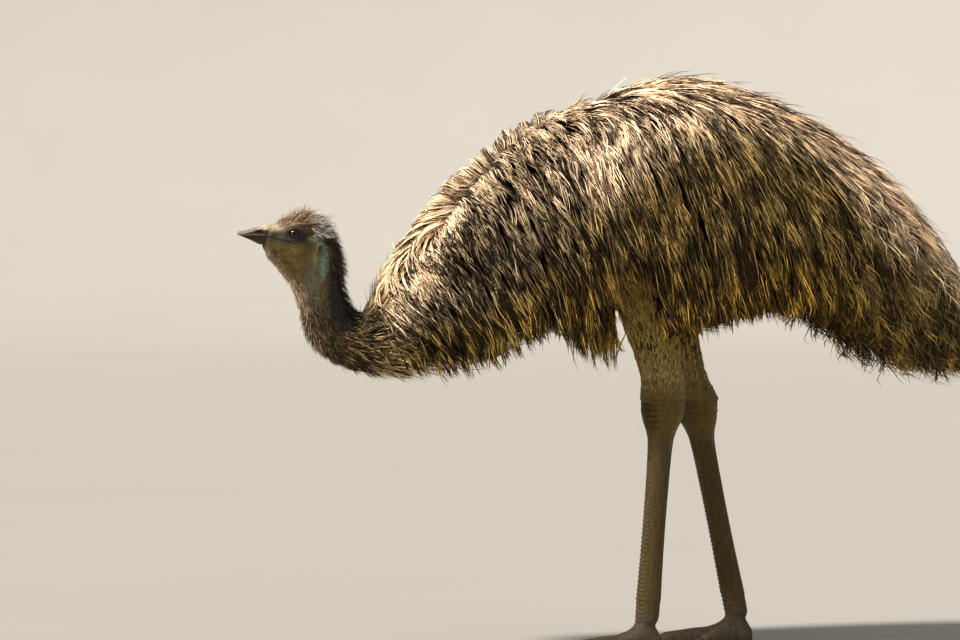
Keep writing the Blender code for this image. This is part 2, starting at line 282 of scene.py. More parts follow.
def body_to_skin(points):
    """Move points of the coat's outline in to the skin below them."""
    x, y, z = points.T
    top, low, wide = top_at(y), floor_at(y), np.interp(y, stations, widths)
    middle = low + 0.45 * (top - low)
    above = (top - middle - np.interp(y, PLACES, TOP_DEPTH)) / (top - middle)
    below = (middle - low - np.interp(y, PLACES, BELLY_DEPTH)) / (middle - low)
    inner_z = middle + (z - middle) * np.where(z > middle, above, below).clip(LEAST_SHARE, 1)
    inner_x = x * ((wide - np.interp(y, PLACES, SIDE_DEPTH)) / wide).clip(LEAST_SHARE, 1)
    inner_y = np.where(y > TAIL_START, TAIL_START + (y - TAIL_START) * TAIL_SHARE, y)
    raised = floor_at(inner_y) + TAIL_LIFT
    inner_z = inner_z + np.maximum(raised - inner_z, 0) * step_up(y, TAIL_START, TAIL_START + 0.08)
    return np.column_stack([inner_x, inner_y, inner_z])


def reshape(form, change, cuts):
    """Divide a form's faces and move its points by a function."""
    bmesh.ops.subdivide_edges(form, edges=form.edges, cuts=cuts, use_grid_fill=True)
    moved = change(np.array([vertex.co[:] for vertex in form.verts]))
    for vertex, place in zip(form.verts, moved):
        vertex.co = place
    return form


# %% Draw the thighs in and up into the body
LEG_AXES = {
    1: np.array([[0.1, 0.066, 0.64], [0.094, 0.071, 0.432], [0.09, 0.043, 0.05]]),
    -1: np.array([[-0.1, 0.09, 0.64], [-0.094, 0.173, 0.428], [-0.09, 0.25, 0.05]]),
}


def leg_centre(side, height):
    """The middle of a leg at a height, as x and y."""
    line = LEG_AXES[side][::-1]
    return np.column_stack([np.interp(height, line[:, 2], line[:, axis]) for axis in (0, 1)])


def thigh_to_skin(side):
    """A function that thins a drumstick where it shows and spreads it inside the body."""
    def change(points):
        centre = leg_centre(side, points[:, 2])
        high = step_up(points[:, 2], 0.485, 0.565)
        scale = 1 - 0.12 * step_up(points[:, 2], 0.452, 0.5)
        wider = np.column_stack([scale + 1.0 * high, scale + 0.45 * high])
        moved = points.copy()
        moved[:, :2] = centre + (points[:, :2] - centre) * wider
        moved[:, 1] -= 0.045 * high
        moved[:, 2] += 0.14 * high
        return moved
    return change


forms = [reshape(form, body_to_skin, 2) for form in welded(BODY_NODES)]
for word, side in SIDES.items():
    forms.append(reshape(welded(["drumstick_" + word])[0], thigh_to_skin(side), 1))
bare_nodes = ["head", "neck_upper", "ear_left", "ear_right", "eye_left", "eye_right"]
for word in SIDES:
    bare_nodes += ["shank_" + word] + [f"toe_{toe}_{word}" for toe in TOES]
skin_mesh = fuse("skin", forms + welded(bare_nodes), SKIN_VOXEL, 7)
print("skin before thinning:", len(skin_mesh.polygons), "faces")

# %% [markdown]
# ## One skin, fine where it shows
# Faces of 2 mm suit the face and the feet, but below the coat they are waste. The Decimate
# modifier thins only the vertices in a group, so the group holds the trunk and the thighs. The
# head is then divided again, and twice round the eyes, to carry lids and folds.

# %% Thin the skin below the coat
SKIN_TRIANGLES_UNDER_COAT = 16000


def covered(points):
    """Which places of the skin lie under the coat or the leg feathers."""
    _, y, z = points.T
    return ((y > -0.455) & (z > 0.49)) | ((y > -0.1) & (z > 0.462))


def thinned(mesh):
    """Fewer faces where the coat covers the skin."""
    holder = show(mesh, "skin_thick")
    group = holder.vertex_groups.new(name="covered")
    hidden = covered(surface(mesh)[0])
    group.add([int(index) for index in np.flatnonzero(hidden)], 1.0, "REPLACE")
    decimate = holder.modifiers.new("Thin", "DECIMATE")
    decimate.vertex_group = "covered"
    bare_share = 1 - float(np.mean(hidden))
    decimate.ratio = bare_share + SKIN_TRIANGLES_UNDER_COAT / (2 * len(mesh.polygons))
    return with_modifiers(holder)


skin_mesh = thinned(skin_mesh)
print("skin after thinning:", triangles(skin_mesh), "triangles")

# %% Divide the head, and the rims of the eyes once more
EYE_RADIUS = 0.0125
EYE_RIM = 0.017
EYES = {side: np.array([side * 0.0225, -0.588, 0.749]) for side in SIDES.values()}
EARS = {side: np.array([side * 0.0325, -0.541, 0.723]) for side in SIDES.values()}


def refine(mesh, chosen, cuts=1, rounds=1):
    """Divide the faces whose middles are chosen, then even out the chosen points."""
    form = form_of(mesh)
    if cuts:
        picked = chosen(np.array([face.calc_center_median()[:] for face in form.faces]))
        edges = {edge for face, yes in zip(form.faces, picked) if yes for edge in face.edges}
        edges = sorted(edges, key=lambda edge: edge.index)
        bmesh.ops.subdivide_edges(form, edges=edges, cuts=cuts, use_grid_fill=True)
    near = chosen(np.array([vertex.co[:] for vertex in form.verts]))
    inner = [vertex for vertex, yes in zip(form.verts, near) if yes]
    for _ in range(rounds):
        bmesh.ops.smooth_vert(form, verts=inner, factor=0.5,
                              use_axis_x=True, use_axis_y=True, use_axis_z=True)
    keep(form, mesh)


def gap_to(points, middles, stretch=(1, 1, 1)):
    """Distance to the nearer of two middles, one on each side."""
    gaps = [np.linalg.norm((points - middle) / stretch, axis=1) for middle in middles.values()]
    return np.min(gaps, axis=0)


def on_the_head(points):
    """Places on the head and the throat."""
    return (points[:, 1] < -0.505) & (points[:, 2] > 0.672)


def near_eyes(points):
    """Places close round the middle of an eye."""
    return gap_to(points, EYES) < EYE_RIM


refine(skin_mesh, on_the_head)
refine(skin_mesh, near_eyes)
print("skin with a finer head:", triangles(skin_mesh), "triangles")

# %% [markdown]
# ## Shaping the face
# A sculptor works a face from big forms to small. The same order is kept here: draw the skin in
# below its short hair, raise the brow and the cheek, hollow the lore, cut the corner of the
# mouth, crease the throat, open the ear, and open the lids round the eyeball. Each move slides
# vertices along the way the skin faces, by an amount that fades out smoothly.

# %% Draw in the skin of the head and the upper neck
NECK_HAIR_DEPTH = 0.0052
HEAD_HAIR_DEPTH = 0.0016

points, facing = surface(skin_mesh)
x, y, z = points.T
neck_share = step_down(z, 0.675, 0.715) * step_down(y, -0.478, -0.455)
head_share = (z > 0.6) * step_up(y, -0.634, -0.618) * (1 - neck_share) * (y < -0.47)
hair_depth = NECK_HAIR_DEPTH * neck_share + HEAD_HAIR_DEPTH * head_share
for eye in EYES.values():
    hair_depth = hair_depth * step_up(np.linalg.norm(points - eye, axis=1), EYE_RADIUS, 0.0165)
points = points - facing * hair_depth[:, None]
set_points(skin_mesh, points)
print("skin drawn in by up to", round(float(hair_depth.max()) * 1000, 1), "mm")

# %% Brow, lore, cheek and throat
MOUTH_CORNER = ((-0.638, 0.744), (-0.6, 0.735))
MOUTH_FOLD = ((-0.6, 0.735), (-0.581, 0.727))
FACE_FORMS = [
    (0.0028, (-0.588, 0.7665), (0.018, 0.0036)),
    (0.001, (-0.602, 0.7605), (0.01, 0.0035)),
    (-0.0024, (-0.6165, 0.7485), (0.0085, 0.0062)),
    (0.0016, (-0.585, 0.7155), (0.013, 0.0075)),
    (0.001, (-0.566, 0.737), (0.009, 0.01)),
    (-0.0012, (-0.556, 0.748), (0.008, 0.006)),
]


def near_place(points, centre, reach):
    """How near each point is, in side view, to a place given as y and z, from 0 to 1."""
    gap = (points[:, 1:] - np.array(centre)) / np.array(reach)
    return np.exp(-(gap ** 2).sum(axis=1))


def off_line(points, start, end):
    """Distance in side view from a straight line between two places given as y and z."""
    start, end = np.array(start), np.array(end)
    run = end - start
    share = np.clip(((points[:, 1:] - start) @ run) / (run @ run), 0, 1)
    return np.linalg.norm(points[:, 1:] - start - share[:, None] * run, axis=1)


facing = surface(skin_mesh)[1]
x, y, z = points.T
sideways = step_up(np.abs(facing[:, 0]), 0.15, 0.5)
mouth_gap = off_line(points, *MOUTH_CORNER)
move = sum(height * near_place(points, centre, reach) * sideways
           for height, centre, reach in FACE_FORMS)
move -= 0.0017 * bell(mouth_gap, 0.0011) * sideways
move -= 0.0011 * bell(off_line(points, *MOUTH_FOLD), 0.0013) * sideways
move += 0.0006 * bell(mouth_gap - 0.0026, 0.0011) * sideways
throat = step_up(-facing[:, 1], 0.0, 0.5) * (z < 0.7) * (y < -0.5)
down_throat = z + 0.35 * y + 0.0011 * np.sin(x * 420)
move -= 0.00055 * throat * step_up(np.sin(down_throat * 2 * math.pi / 0.0085), 0.35, 1.0)
points = points + facing * move[:, None]
print("the face moves by up to", round(float(np.abs(move).max()) * 1000, 1), "mm")

# %% Open the ears
EAR_DEPTH = 0.0042

for side, ear in EARS.items():
    distance = np.linalg.norm((points - ear) / np.array([0.01, 0.0042, 0.0055]), axis=1)
    hole = EAR_DEPTH * np.exp(-distance ** 4) - 0.0009 * bell(distance - 1.45, 0.28)
    near = (points[:, 0] * side > 0.015) & (distance < 3)
    points[near] -= facing[near] * hole[near, None]
print("ears open", round(EAR_DEPTH * 1000, 1), "mm deep")

# %% Open the lids round the eyeballs
LID_GAP = 0.001
OPEN_ACROSS = math.sin(math.radians(50))
OPEN_HIGH = math.sin(math.radians(41))
eye_axes = {}
for side, eye in EYES.items():
    axis = unit(np.array([side * 1.0, -0.13, 0.04]))
    ahead = unit(np.cross([0, 0, 1.0], axis)) * -side
    rise = np.cross(axis, ahead)
    rise = rise * np.sign(rise[2])
    eye_axes[side] = (axis, ahead, rise)
    away = points - eye
    reach = np.linalg.norm(away, axis=1)
    toward = away / np.maximum(reach, 1e-9)[:, None]
    forward = toward @ ahead
    corner = np.where(forward > 0, 1.12, 1.0)
    opening = np.sqrt((forward / OPEN_ACROSS / corner) ** 2 + ((toward @ rise) / OPEN_HIGH) ** 2)
    near = (reach < EYE_RADIUS * 1.7) & (toward @ axis > 0.15)
    inside = near & (opening < 1)
    points[inside] = eye + toward[inside] * EYE_RADIUS * 0.8
    rim = 0.001 * bell(opening - 1.08, 0.13) - 0.0005 * bell(opening - 1.42, 0.1)
    least = EYE_RADIUS + LID_GAP + rim * step_up(opening, 0.9, 1.0)
    lifted = np.maximum(reach, least) + rim * step_down(opening, 1.25, 1.75)
    outside = near & (opening >= 1)
    points[outside] = eye + toward[outside] * lifted[outside, None]
print("lids open", round(2 * EYE_RADIUS * OPEN_ACROSS * 1000, 1), "mm across")

# %% Tuck the face in behind the bill
BILL_HEIGHT = 0.7465


def behind_bill(points):
    """Distance behind the slanted plane where the bill meets the face."""
    return points[:, 1] + 0.639 - 0.36 * (points[:, 2] - 0.7445)


tuck = (1 - step_up(behind_bill(points), -0.001, 0.009)) * step_up(points[:, 2], 0.728, 0.733)
tuck = tuck * (points[:, 1] < -0.6)
points[:, 0] *= 1 - 0.13 * tuck
points[:, 2] += (BILL_HEIGHT - points[:, 2]) * 0.05 * tuck
set_points(skin_mesh, points)
print(int((tuck > 0.5).sum()), "points tucked in behind the bill")

# %% [markdown]
# ## Legs and feet
# An emu's shank is bare and scaly. Broad scutes cross its front and stand proud at their lower
# edges, like roof tiles, and smaller ones cross the tops of the toes. The hock is leathery and
# creased across. A sawtooth wave along the leg makes the tiles; its sharp fall is the proud edge.

# %% Ease the ankles and divide the fronts of the shanks
FOOT_X = 0.09


def near_ankles(points):
    """Choose the join of the shanks and the feet."""
    x, y, z = points.T
    gap = np.hypot(np.abs(x) - FOOT_X, y - np.where(x > 0, 0.044, 0.249))
    return (z > 0.026) & (z < 0.092) & (gap < 0.045)


def shank_fronts(points):
    """Choose the fronts of the shanks, where the scutes are."""
    x, y, z = points.T
    middle = np.where(x > 0, leg_centre(1, z)[:, 1], leg_centre(-1, z)[:, 1])
    return (y > -0.2) & (z > 0.052) & (z < 0.335) & (y < middle - 0.008)


refine(skin_mesh, near_ankles, cuts=0, rounds=60)
refine(skin_mesh, shank_fronts)

# %% Shape scutes, creases and toe pads
SHANK_SCUTE = 0.0078
TOE_SCUTE = 0.0052
HOCK_CREASE = 0.0082
TOE_PAD = 0.024
SOLE = 0.0006

points, facing = surface(skin_mesh)
x, y, z = points.T
on_leg = (z < 0.5) & (y > -0.3)
front = step_up(-facing[:, 1], 0.35, 0.75) * on_leg
tile = 1 - np.mod(z / SHANK_SCUTE + 0.12 * np.sin(x * 260), 1)
move = 0.0015 * tile ** 1.4 * front * band(z, 0.048, 0.06, 0.2, 0.36)
move += 0.0005 * tile * front * step_up(z, 0.055, 0.065) * step_down(z, 0.34, 0.4)
crease = np.abs(np.sin((z + 0.004 * np.sin(x * 190)) * math.pi / HOCK_CREASE))
at_hock = band(z, 0.372, 0.4, 0.44, 0.462) * on_leg
groove = 0.0013 * at_hock * (1 - step_up(crease, 0.0, 0.45))
move -= groove * step_up(np.abs(facing[:, 1]), 0.1, 0.5)
top_of_toe = step_up(facing[:, 2], 0.25, 0.75) * (z < 0.058) * on_leg
step_out = np.hypot(x - np.where(x > 0, FOOT_X, -FOOT_X), y - np.where(x > 0, 0.043, 0.25))
toe_tile = np.mod(step_out / TOE_SCUTE, 1)
move += 0.0009 * toe_tile ** 1.5 * top_of_toe * step_up(step_out, 0.012, 0.03)
pad = np.abs(np.sin(step_out * math.pi / TOE_PAD))
low_side = step_down(z, 0.006, 0.014) * on_leg
move -= 0.0016 * low_side * (1 - step_up(pad, 0.0, 0.55)) * step_up(step_out, 0.03, 0.05)
points = points + facing * move[:, None]
points[:, 2] = np.where(on_leg & (points[:, 2] < SOLE), 0.0, points[:, 2])
set_points(skin_mesh, points)
print("skin:", triangles(skin_mesh), "triangles")

# %% [markdown]
# ## Finishes in Python
# A finish is a graph of shader nodes. Written as sums in Python it reads like the recipe it is:
# this small class wraps a socket, and adding or multiplying two of them adds the node that does
# it. Colours and directions go through Vector Math, plain numbers through Math.

# %% A socket that can be added and multiplied
class Wire:
    """One output of a finish's nodes."""

    def __init__(self, tree, socket):
        self.tree = tree
        self.socket = socket

    def node(self, kind, inputs, take=0, **settings):
        """Add a node with its inputs and settings, and return one of its outputs."""
        made = self.tree.nodes.new("ShaderNode" + kind)
        for name, value in settings.items():
            setattr(made, name, value)
        for key, value in inputs.items():
            socket = made.inputs[key]
            if isinstance(value, Wire):
                self.tree.links.new(value.socket, socket)
            else:
                socket.default_value = (*value, 1.0) if socket.type == "RGBA" else value
        return Wire(self.tree, made.outputs[take])

    @staticmethod
    def is_row(part):
        """Whether a part of a sum has three numbers."""
        if isinstance(part, Wire):
            return part.socket.type in ("VECTOR", "RGBA")
        return isinstance(part, tuple)

    def combine(self, operation, first, second):
        """Combine two wires, numbers or colours by one operation."""
        if not (self.is_row(first) or self.is_row(second)):
            return self.node("Math", {0: first, 1: second}, operation=operation)
        parts = [part if isinstance(part, (Wire, tuple)) else (part,) * 3
                 for part in (first, second)]
        return self.node("VectorMath", dict(enumerate(parts)), operation=operation)

    def __add__(self, other):
        return self.combine("ADD", self, other)

    def __sub__(self, other):
        return self.combine("SUBTRACT", self, other)

    def __rsub__(self, other):
        return self.combine("SUBTRACT", other, self)

    def __mul__(self, other):
        return self.combine("MULTIPLY", self, other)

    def __radd__(self, other):
        return self.combine("ADD", other, self)

    def __rmul__(self, other):
        return self.combine("MULTIPLY", other, self)

    def rise(self, low, high):
        """Go smoothly from 0 at low to 1 at high."""
        return self.node("MapRange", {"Value": self, "From Min": low, "From Max": high},
                         interpolation_type="SMOOTHSTEP")

    def mix(self, none, full):
        """A colour that goes from one to another as this number goes from 0 to 1."""
        return self.node("Mix", {0: self, 6: none, 7: full}, 2, data_type="RGBA")

    def wave(self):
        """The sine of this number."""
        return self.node("Math", {0: self}, operation="SINE")

    def parts(self):
        """The three numbers of a colour or a place."""
        return [self.node("SeparateXYZ", {0: self}, index) for index in range(3)]

    def noise(self, scale, detail=3.0):
        """Cloudy numbers round 0.5, with lumps about one part of a metre over the scale."""
        return self.node("TexNoise", {"Vector": self, "Scale": scale, "Detail": detail})

    def cells(self, scale, feature="F1"):
        """Distance to the nearest of many scattered seeds, which makes scales and pores."""
        return self.node("TexVoronoi", {"Vector": self, "Scale": scale}, feature=feature)

    def bump(self, strength, depth):
        """Turn a height into a slope of the surface."""
        return self.node("Bump", {"Strength": strength, "Distance": depth, "Height": self})


# %% Start a finish and feed its shader
def start_finish(name, roughness, specular):
    """A new finish, its shader, and the place on the object as a wire."""
    material = bpy.data.materials.new(name)
    material.use_nodes = True
    tree = material.node_tree
    shader = tree.nodes["Principled BSDF"]
    shader.inputs["Roughness"].default_value = roughness
    shader.inputs["Specular IOR Level"].default_value = specular
    place = Wire(tree, None).node("TexCoord", {}, "Object")
    return material, shader, place


def painted(place, name):
    """The colour and the fourth number of what was painted on the vertices."""
    colour = place.node("Attribute", {}, "Color", attribute_name=name)
    return colour, Wire(place.tree, colour.socket.node.outputs["Alpha"])


def connect(shader, **wires):
    """Feed wires into the shader's sockets."""
    for name, wire in wires.items():
        wire.tree.links.new(wire.socket, shader.inputs[name.replace("_", " ")])


# %% [markdown]
# ## The markings
# Skin and hair grow from the same place and carry the same colours, so one function gives the
# colour of any place, and both use it. On this bird the lores are dark grey-green, the cheek and
# the throat olive-brown, a bare patch of teal-blue runs from the ear down the side of the neck, and
# the nape and the lower neck are nearly black. Painted light is laid in as well: a cream highlight
# down the front of the throat where a rim light falls, pale highlights on the forehead and along
# the brow, and painted shade in the ear openings.

# %% Lay colours over one another
def layered(base, *layers):
    """Lay colours over others, each by a share for each row."""
    base = np.array(base)
    for colour, share in layers:
        base = base + (np.array(colour) - base) * np.clip(share, 0, 1)[:, None]
    return base


# %% The bare blue band
BLUE_LINE = [(-0.548, 0.743), (-0.5365, 0.728), (-0.5345, 0.708),
             (-0.536, 0.69), (-0.5385, 0.668), (-0.541, 0.648)]
BLUE_HEIGHTS = [0.655, 0.67, 0.684, 0.7, 0.725, 0.743]
BLUE_WIDTHS = [-0.006, 0.001, 0.0065, 0.0072, 0.0046, 0.0034]


def blue_share(points):
    """How surely a place is on the bare blue band that runs down the neck from behind the ear."""
    x, _, z = points.T
    gap = np.min([off_line(points, *pair) for pair in zip(BLUE_LINE, BLUE_LINE[1:])], axis=0)
    edge = 0.0007 * np.sin(z * 700) + 0.0005 * np.sin(z * 1630)
    inside = step_up(np.interp(z, BLUE_HEIGHTS, BLUE_WIDTHS) + edge - gap, -0.0055, 0.005)
    return inside * step_up(np.abs(x), 0.012, 0.02)


# %% The head and neck
NAPE_HEIGHTS = [0.57, 0.65, 0.7, 0.73, 0.76]
NAPE_EDGE = [-0.53, -0.529, -0.5255, -0.5245, -0.53]


def nape_share(points, facing):
    """How surely a place is on the dark nape, from 0 to 1."""
    x, y, z = points.T
    behind = y - np.interp(z, NAPE_HEIGHTS, NAPE_EDGE) + 0.0015 * np.sin(z * 900)
    share = step_up(behind, -0.008, 0.008) * step_up(facing[:, 1], -0.25, 0.1)
    share = share * step_up(-z + 0.003 * np.sin(x * 520), -0.79, -0.742)
    return share * step_up(z, 0.56, 0.59) * (y < -0.465)


def face_colour(points, facing):
    """The colour of the head and neck at each point, painted highlights and painted shade included.
    """
    _, y, z = points.T
    aside = step_up(np.abs(facing[:, 0]), 0.25, 0.7)
    top = step_up(facing[:, 2], 0.25, 0.8) * (z > 0.762)
    mouth = bell(off_line(points, *MOUTH_CORNER), 0.0035)
    # the front of the throat, which carries a painted highlight where a rim light falls
    throat = step_up(-facing[:, 1], 0.34, 0.84) * step_down(z, 0.7, 0.73)
    dark = step_down(z, 0.6, 0.65) * (1 - 0.5 * throat) * (1 - 0.55 * aside * (y < -0.53))
    ear = np.hypot((y + 0.541) / 1.0, (z - 0.723) / 1.25)

    def near(*place):
        return near_place(points, place[:2], place[2:])

    return layered(
        (0.086, 0.062, 0.021),
        ((0.225, 0.142, 0.038), near(-0.6, 0.698, 0.028, 0.027)),
        ((0.47, 0.315, 0.195), top),
        ((0.3, 0.27, 0.235), near(-0.53, 0.772, 0.018, 0.018)),
        ((0.036, 0.034, 0.025), 1.4 * near(-0.62, 0.748, 0.019, 0.0095)),
        ((0.038, 0.034, 0.028), 1.1 * near(-0.59, 0.749, 0.02, 0.0115)),
        ((0.009, 0.007, 0.005), 1.1 * near(-0.572, 0.7425, 0.017, 0.0105)),
        ((0.01, 0.008, 0.006), 1.1 * near(-0.584, 0.747, 0.0125, 0.01)),
        # painted highlight on the forehead, where the bill's ridge highlight runs on
        ((0.62, 0.48, 0.36), 0.9 * near(-0.622, 0.7605, 0.017, 0.006)),
        ((0.028, 0.024, 0.019), 0.8 * mouth),
        # painted highlight along the brow over the eye
        ((0.47, 0.36, 0.26), 0.85 * near(-0.592, 0.767, 0.014, 0.0024)),
        # painted highlight: a cream rim of light down the front of the throat
        ((0.78, 0.58, 0.36), 0.9 * throat),
        ((0.1, 0.106, 0.076), 0.8 * aside * near(-0.557, 0.655, 0.013, 0.045)),
        ((0.088, 0.06, 0.024), dark),
        ((0.018, 0.016, 0.014), nape_share(points, facing)),
        ((0.3, 0.3, 0.12), 0.95 * aside * near(-0.553, 0.74, 0.0095, 0.0052)),
        ((0.25, 0.24, 0.105), 0.8 * aside * near(-0.552, 0.706, 0.0055, 0.013)),
        # painted shade in the ear opening
        ((0.012, 0.01, 0.009), bell(ear, 0.0042)),
        ((0.18, 0.262, 0.228), 0.85 * blue_share(points)),
    )


# %% The long coat
CREST_PLACES = [-0.3, -0.2, -0.05, 0.06, 0.2, 0.32, 0.44]
CREST_LEAST = [0.71, 0.52, 0.52, 0.66, 0.72, 0.72, 0.5]
CREST_SHARE = [0.95, 1.0, 1.0, 1.0, 0.88, 0.6, 1.0]


def height_share(points):
    """How high each point is in the coat there: 0 at the hem, 1 at the top."""
    low = floor_at(points[:, 1])
    return (points[:, 2] - low) / (top_at(points[:, 1]) - low)


def sunlit_share(points, start=-0.04):
    """How much painted sunlight lies on the top of the coat at each point, from 0 to 1."""
    y = points[:, 1]
    above = height_share(points) - np.interp(y, CREST_PLACES, CREST_LEAST)
    return step_up(above, start, 0.24) * np.interp(y, CREST_PLACES, CREST_SHARE)


def body_colour(points):
    """The colour of the long coat at each point: painted sunlight above, gold-brown below, and
    painted shade with an olive cast at the lower rear.
    """
    y = points[:, 1]
    rise = height_share(points)
    rear = band(y, 0.15, 0.25, 0.32, 0.42)
    return layered(
        (0.208, 0.141, 0.047),
        # painted sunlight: the top of the coat is made paler where the sun falls on it
        ((0.72, 0.55, 0.395), 0.95 * sunlit_share(points, 0.0)),
        ((0.228, 0.172, 0.104), 0.9 * step_down(y, -0.22, -0.02) * step_up(rise, 0.2, 0.5)),
        ((0.185, 0.111, 0.017), 0.85 * step_down(rise, 0.14, 0.46)),
        ((0.29, 0.175, 0.028), 0.8 * rear * step_down(rise, 0.2, 0.5)),
        ((0.15, 0.106, 0.056), 0.9 * step_down(y, -0.455, -0.4)),
        # painted shade: the lower rear of the coat takes an olive cast from shade and green bounce
        # light
        ((0.235, 0.168, 0.056), 0.7 * step_up(y, 0.3, 0.55) * step_down(rise, 0.6, 0.9)),
    )


# %% The legs
def leg_colour(points, facing):
    """The colour of the thighs, hocks, shanks and toes at each point."""
    _, y, z = points.T
    aside, behind = np.abs(facing[:, 0]), facing[:, 1]
    hock = band(z, 0.385, 0.405, 0.44, 0.462)
    tendon = step_up(behind, 0.25, 0.75) * step_up(z, 0.345, 0.375)
    return layered(
        (0.046, 0.032, 0.009),
        ((0.085, 0.062, 0.028), 0.75 * step_up(-behind, 0.35, 0.8) * (z < 0.34)),
        ((0.088, 0.062, 0.018), 0.75 * step_up(aside, 0.45, 0.9) * (z < 0.4)),
        ((0.125, 0.078, 0.012), step_up(z, 0.37, 0.405)),
        ((0.075, 0.058, 0.038), step_down(z, 0.05, 0.085)),
        ((0.18, 0.122, 0.038), step_up(z + 0.006 * np.sin(y * 260), 0.425, 0.48)),
        ((0.052, 0.033, 0.01), 0.7 * hock * step_up(-behind, 0.15, 0.75)),
        ((0.2, 0.145, 0.062), 0.38 * tendon * step_down(z, 0.455, 0.48)),
    )


# %% The parting, and the skin as a whole
PARTING_Y = [-0.46, -0.41, -0.36, -0.27, -0.21, -0.15, -0.06]
PARTING_X = [0.028, 0.062, 0.076, 0.068, 0.045, 0.02, 0.0]


def parting_gap(points):
    """Signed distance sideways from the parting, which wanders to the left on the shoulders."""
    middle = np.interp(points[:, 1], PARTING_Y, PARTING_X)
    return points[:, 0] - middle - 0.0015 * np.sin(points[:, 1] * 130)


def parting_share(points, reach):
    """How near a place is to the parting on the slope of the shoulders, from 0 to 1."""
    on_slope = step_up(-points[:, 1], 0.06, 0.16) * step_up(points[:, 2], 0.6, 0.66)
    return on_slope * bell(parting_gap(points), reach)


def skin_colour(points, facing):
    """The colour of the skin at each point."""
    _, y, z = points.T
    colour = layered((0.03, 0.021, 0.011), ((0.15, 0.105, 0.062), parting_share(points, 0.03)))
    leg = (z < 0.53) & (y > -0.3)
    colour[leg] = leg_colour(points[leg], facing[leg])
    front = y < -0.44
    colour[front] = face_colour(points[front], facing[front])
    return colour


# %% Paint the skin
points, facing = surface(skin_mesh)
_, y, z = points.T
scaly = step_down(z, 0.425, 0.445) * (y > -0.3)
creased = band(z, 0.375, 0.4, 0.45, 0.47) * (y > -0.3) * step_up(-facing[:, 1], -0.3, 0.45)
ones = np.ones(len(points))
paint(skin_mesh, "tint", np.column_stack([skin_colour(points, facing), ones]))
paint(skin_mesh, "kind", np.column_stack([scaly, creased, blue_share(points), ones]))
print("skin painted:", len(points), "places")

# %% Finish of the skin
skin_finish, shader, place = start_finish("skin", roughness=0.6, specular=0.22)
tint, _ = painted(place, "tint")
kind, _ = painted(place, "kind")
scale_share, crease_share, blue = kind.parts()
cloud = place.noise(70, 4.0)
stipple = place.noise(1100, 2.0).rise(0.42, 0.62)
plate_edge = (place * (1.0, 1.0, 0.62)).cells(330, "DISTANCE_TO_EDGE").rise(0.0, 0.16)
veins = 0.45 * blue * place.noise(260).rise(0.45, 0.6)
mottled = tint * (0.55 + 0.9 * cloud) * (0.68 + 0.48 * stipple) * (1 - veins)
grain = (place * (1.0, 1.0, 0.16)).noise(210, 4.0)
scaled = tint * (0.66 + 0.44 * plate_edge) * (0.3 + 1.4 * grain)
_, _, high = place.parts()
crease = (high * 640.0 + place.noise(22, 2.0) * 14.0).wave().rise(0.3, 0.95)
crease = crease * place.noise(35, 2.0).rise(0.42, 0.6)
colour = scale_share.mix(mottled, scaled)
# painted shade: the creases of the hock are darkened
colour = (crease_share * 0.8 * crease).mix(colour, (0.026, 0.016, 0.005))
height = 0.5 * place.cells(900) * (1 - scale_share) + 1.1 * plate_edge * scale_share
height = height + 0.55 * place.noise(420, 4.0) - 1.3 * crease_share * crease
rough = 0.5 + 0.25 * cloud - 0.1 * scale_share * plate_edge + 0.12 * blue
connect(shader, Base_Color=colour, Roughness=rough, Normal=height.bump(0.55, 0.0007))
skin = show(skin_mesh, "skin", skin_finish)
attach(skin, "root")
FLESH = ["trunk", "tail", "neck_lower", "neck_upper", "head"]
for word in SIDES:
    FLESH += ["wing_" + word, "drumstick_" + word, "shank_" + word, "ear_" + word]
    FLESH += [f"toe_{toe}_{word}" for toe in TOES]
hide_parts(*FLESH)
skin_tree = search_tree(skin_mesh)
print("the skin stands for", len(FLESH), "nodes")

# %% [markdown]
# ## Eyes
# A bird's eyeball is nearly all hidden: what shows is the clear bulge of the cornea over a brown
# iris and a black pupil. Each eye is turned like a lathe piece about its own line of sight, with
# rings packed closer at the front, and the angle from that line is painted on so that the finish
# can draw pupil and iris.

# %% Turn the eyeballs
EYE_SPOKES = 48
EYE_RINGS = 30
EYE_PLAY = 0.0002
CORNEA_BULGE = 0.075


def eyeball(name, side):
    """An eyeball with a corneal bulge, turned about its line of sight."""
    axis, ahead, rise = eye_axes[side]
    form = bmesh.new()
    angles = math.pi * np.linspace(0, 1, EYE_RINGS + 1) ** 1.4
    rows, looks = [], []
    for angle in angles:
        radius = (EYE_RADIUS - EYE_PLAY) * (1 + CORNEA_BULGE * math.exp(-(angle / 0.62) ** 2))
        ring = []
        for spoke in range(1 if angle in (angles[0], angles[-1]) else EYE_SPOKES):
            turn = 2 * math.pi * spoke / EYE_SPOKES
            out = math.cos(turn) * ahead + math.sin(turn) * rise
            place = EYES[side] + radius * (math.cos(angle) * axis + math.sin(angle) * out)
            ring.append(form.verts.new(place))
            looks.append((angle / math.pi, turn / (2 * math.pi), 0, 1))
        rows.append(ring)
    for near_ring, far_ring in zip(rows, rows[1:]):
        for spoke in range(EYE_SPOKES):
            after = (spoke + 1) % EYE_SPOKES
            corners = [near_ring[spoke % len(near_ring)], near_ring[after % len(near_ring)],
                       far_ring[after % len(far_ring)], far_ring[spoke % len(far_ring)]]
            form.faces.new(list(dict.fromkeys(corners)))
    bmesh.ops.recalc_face_normals(form, faces=form.faces)
    mesh = keep(form, bpy.data.meshes.new(name))
    paint(mesh, "look", np.array(looks))
    return mesh


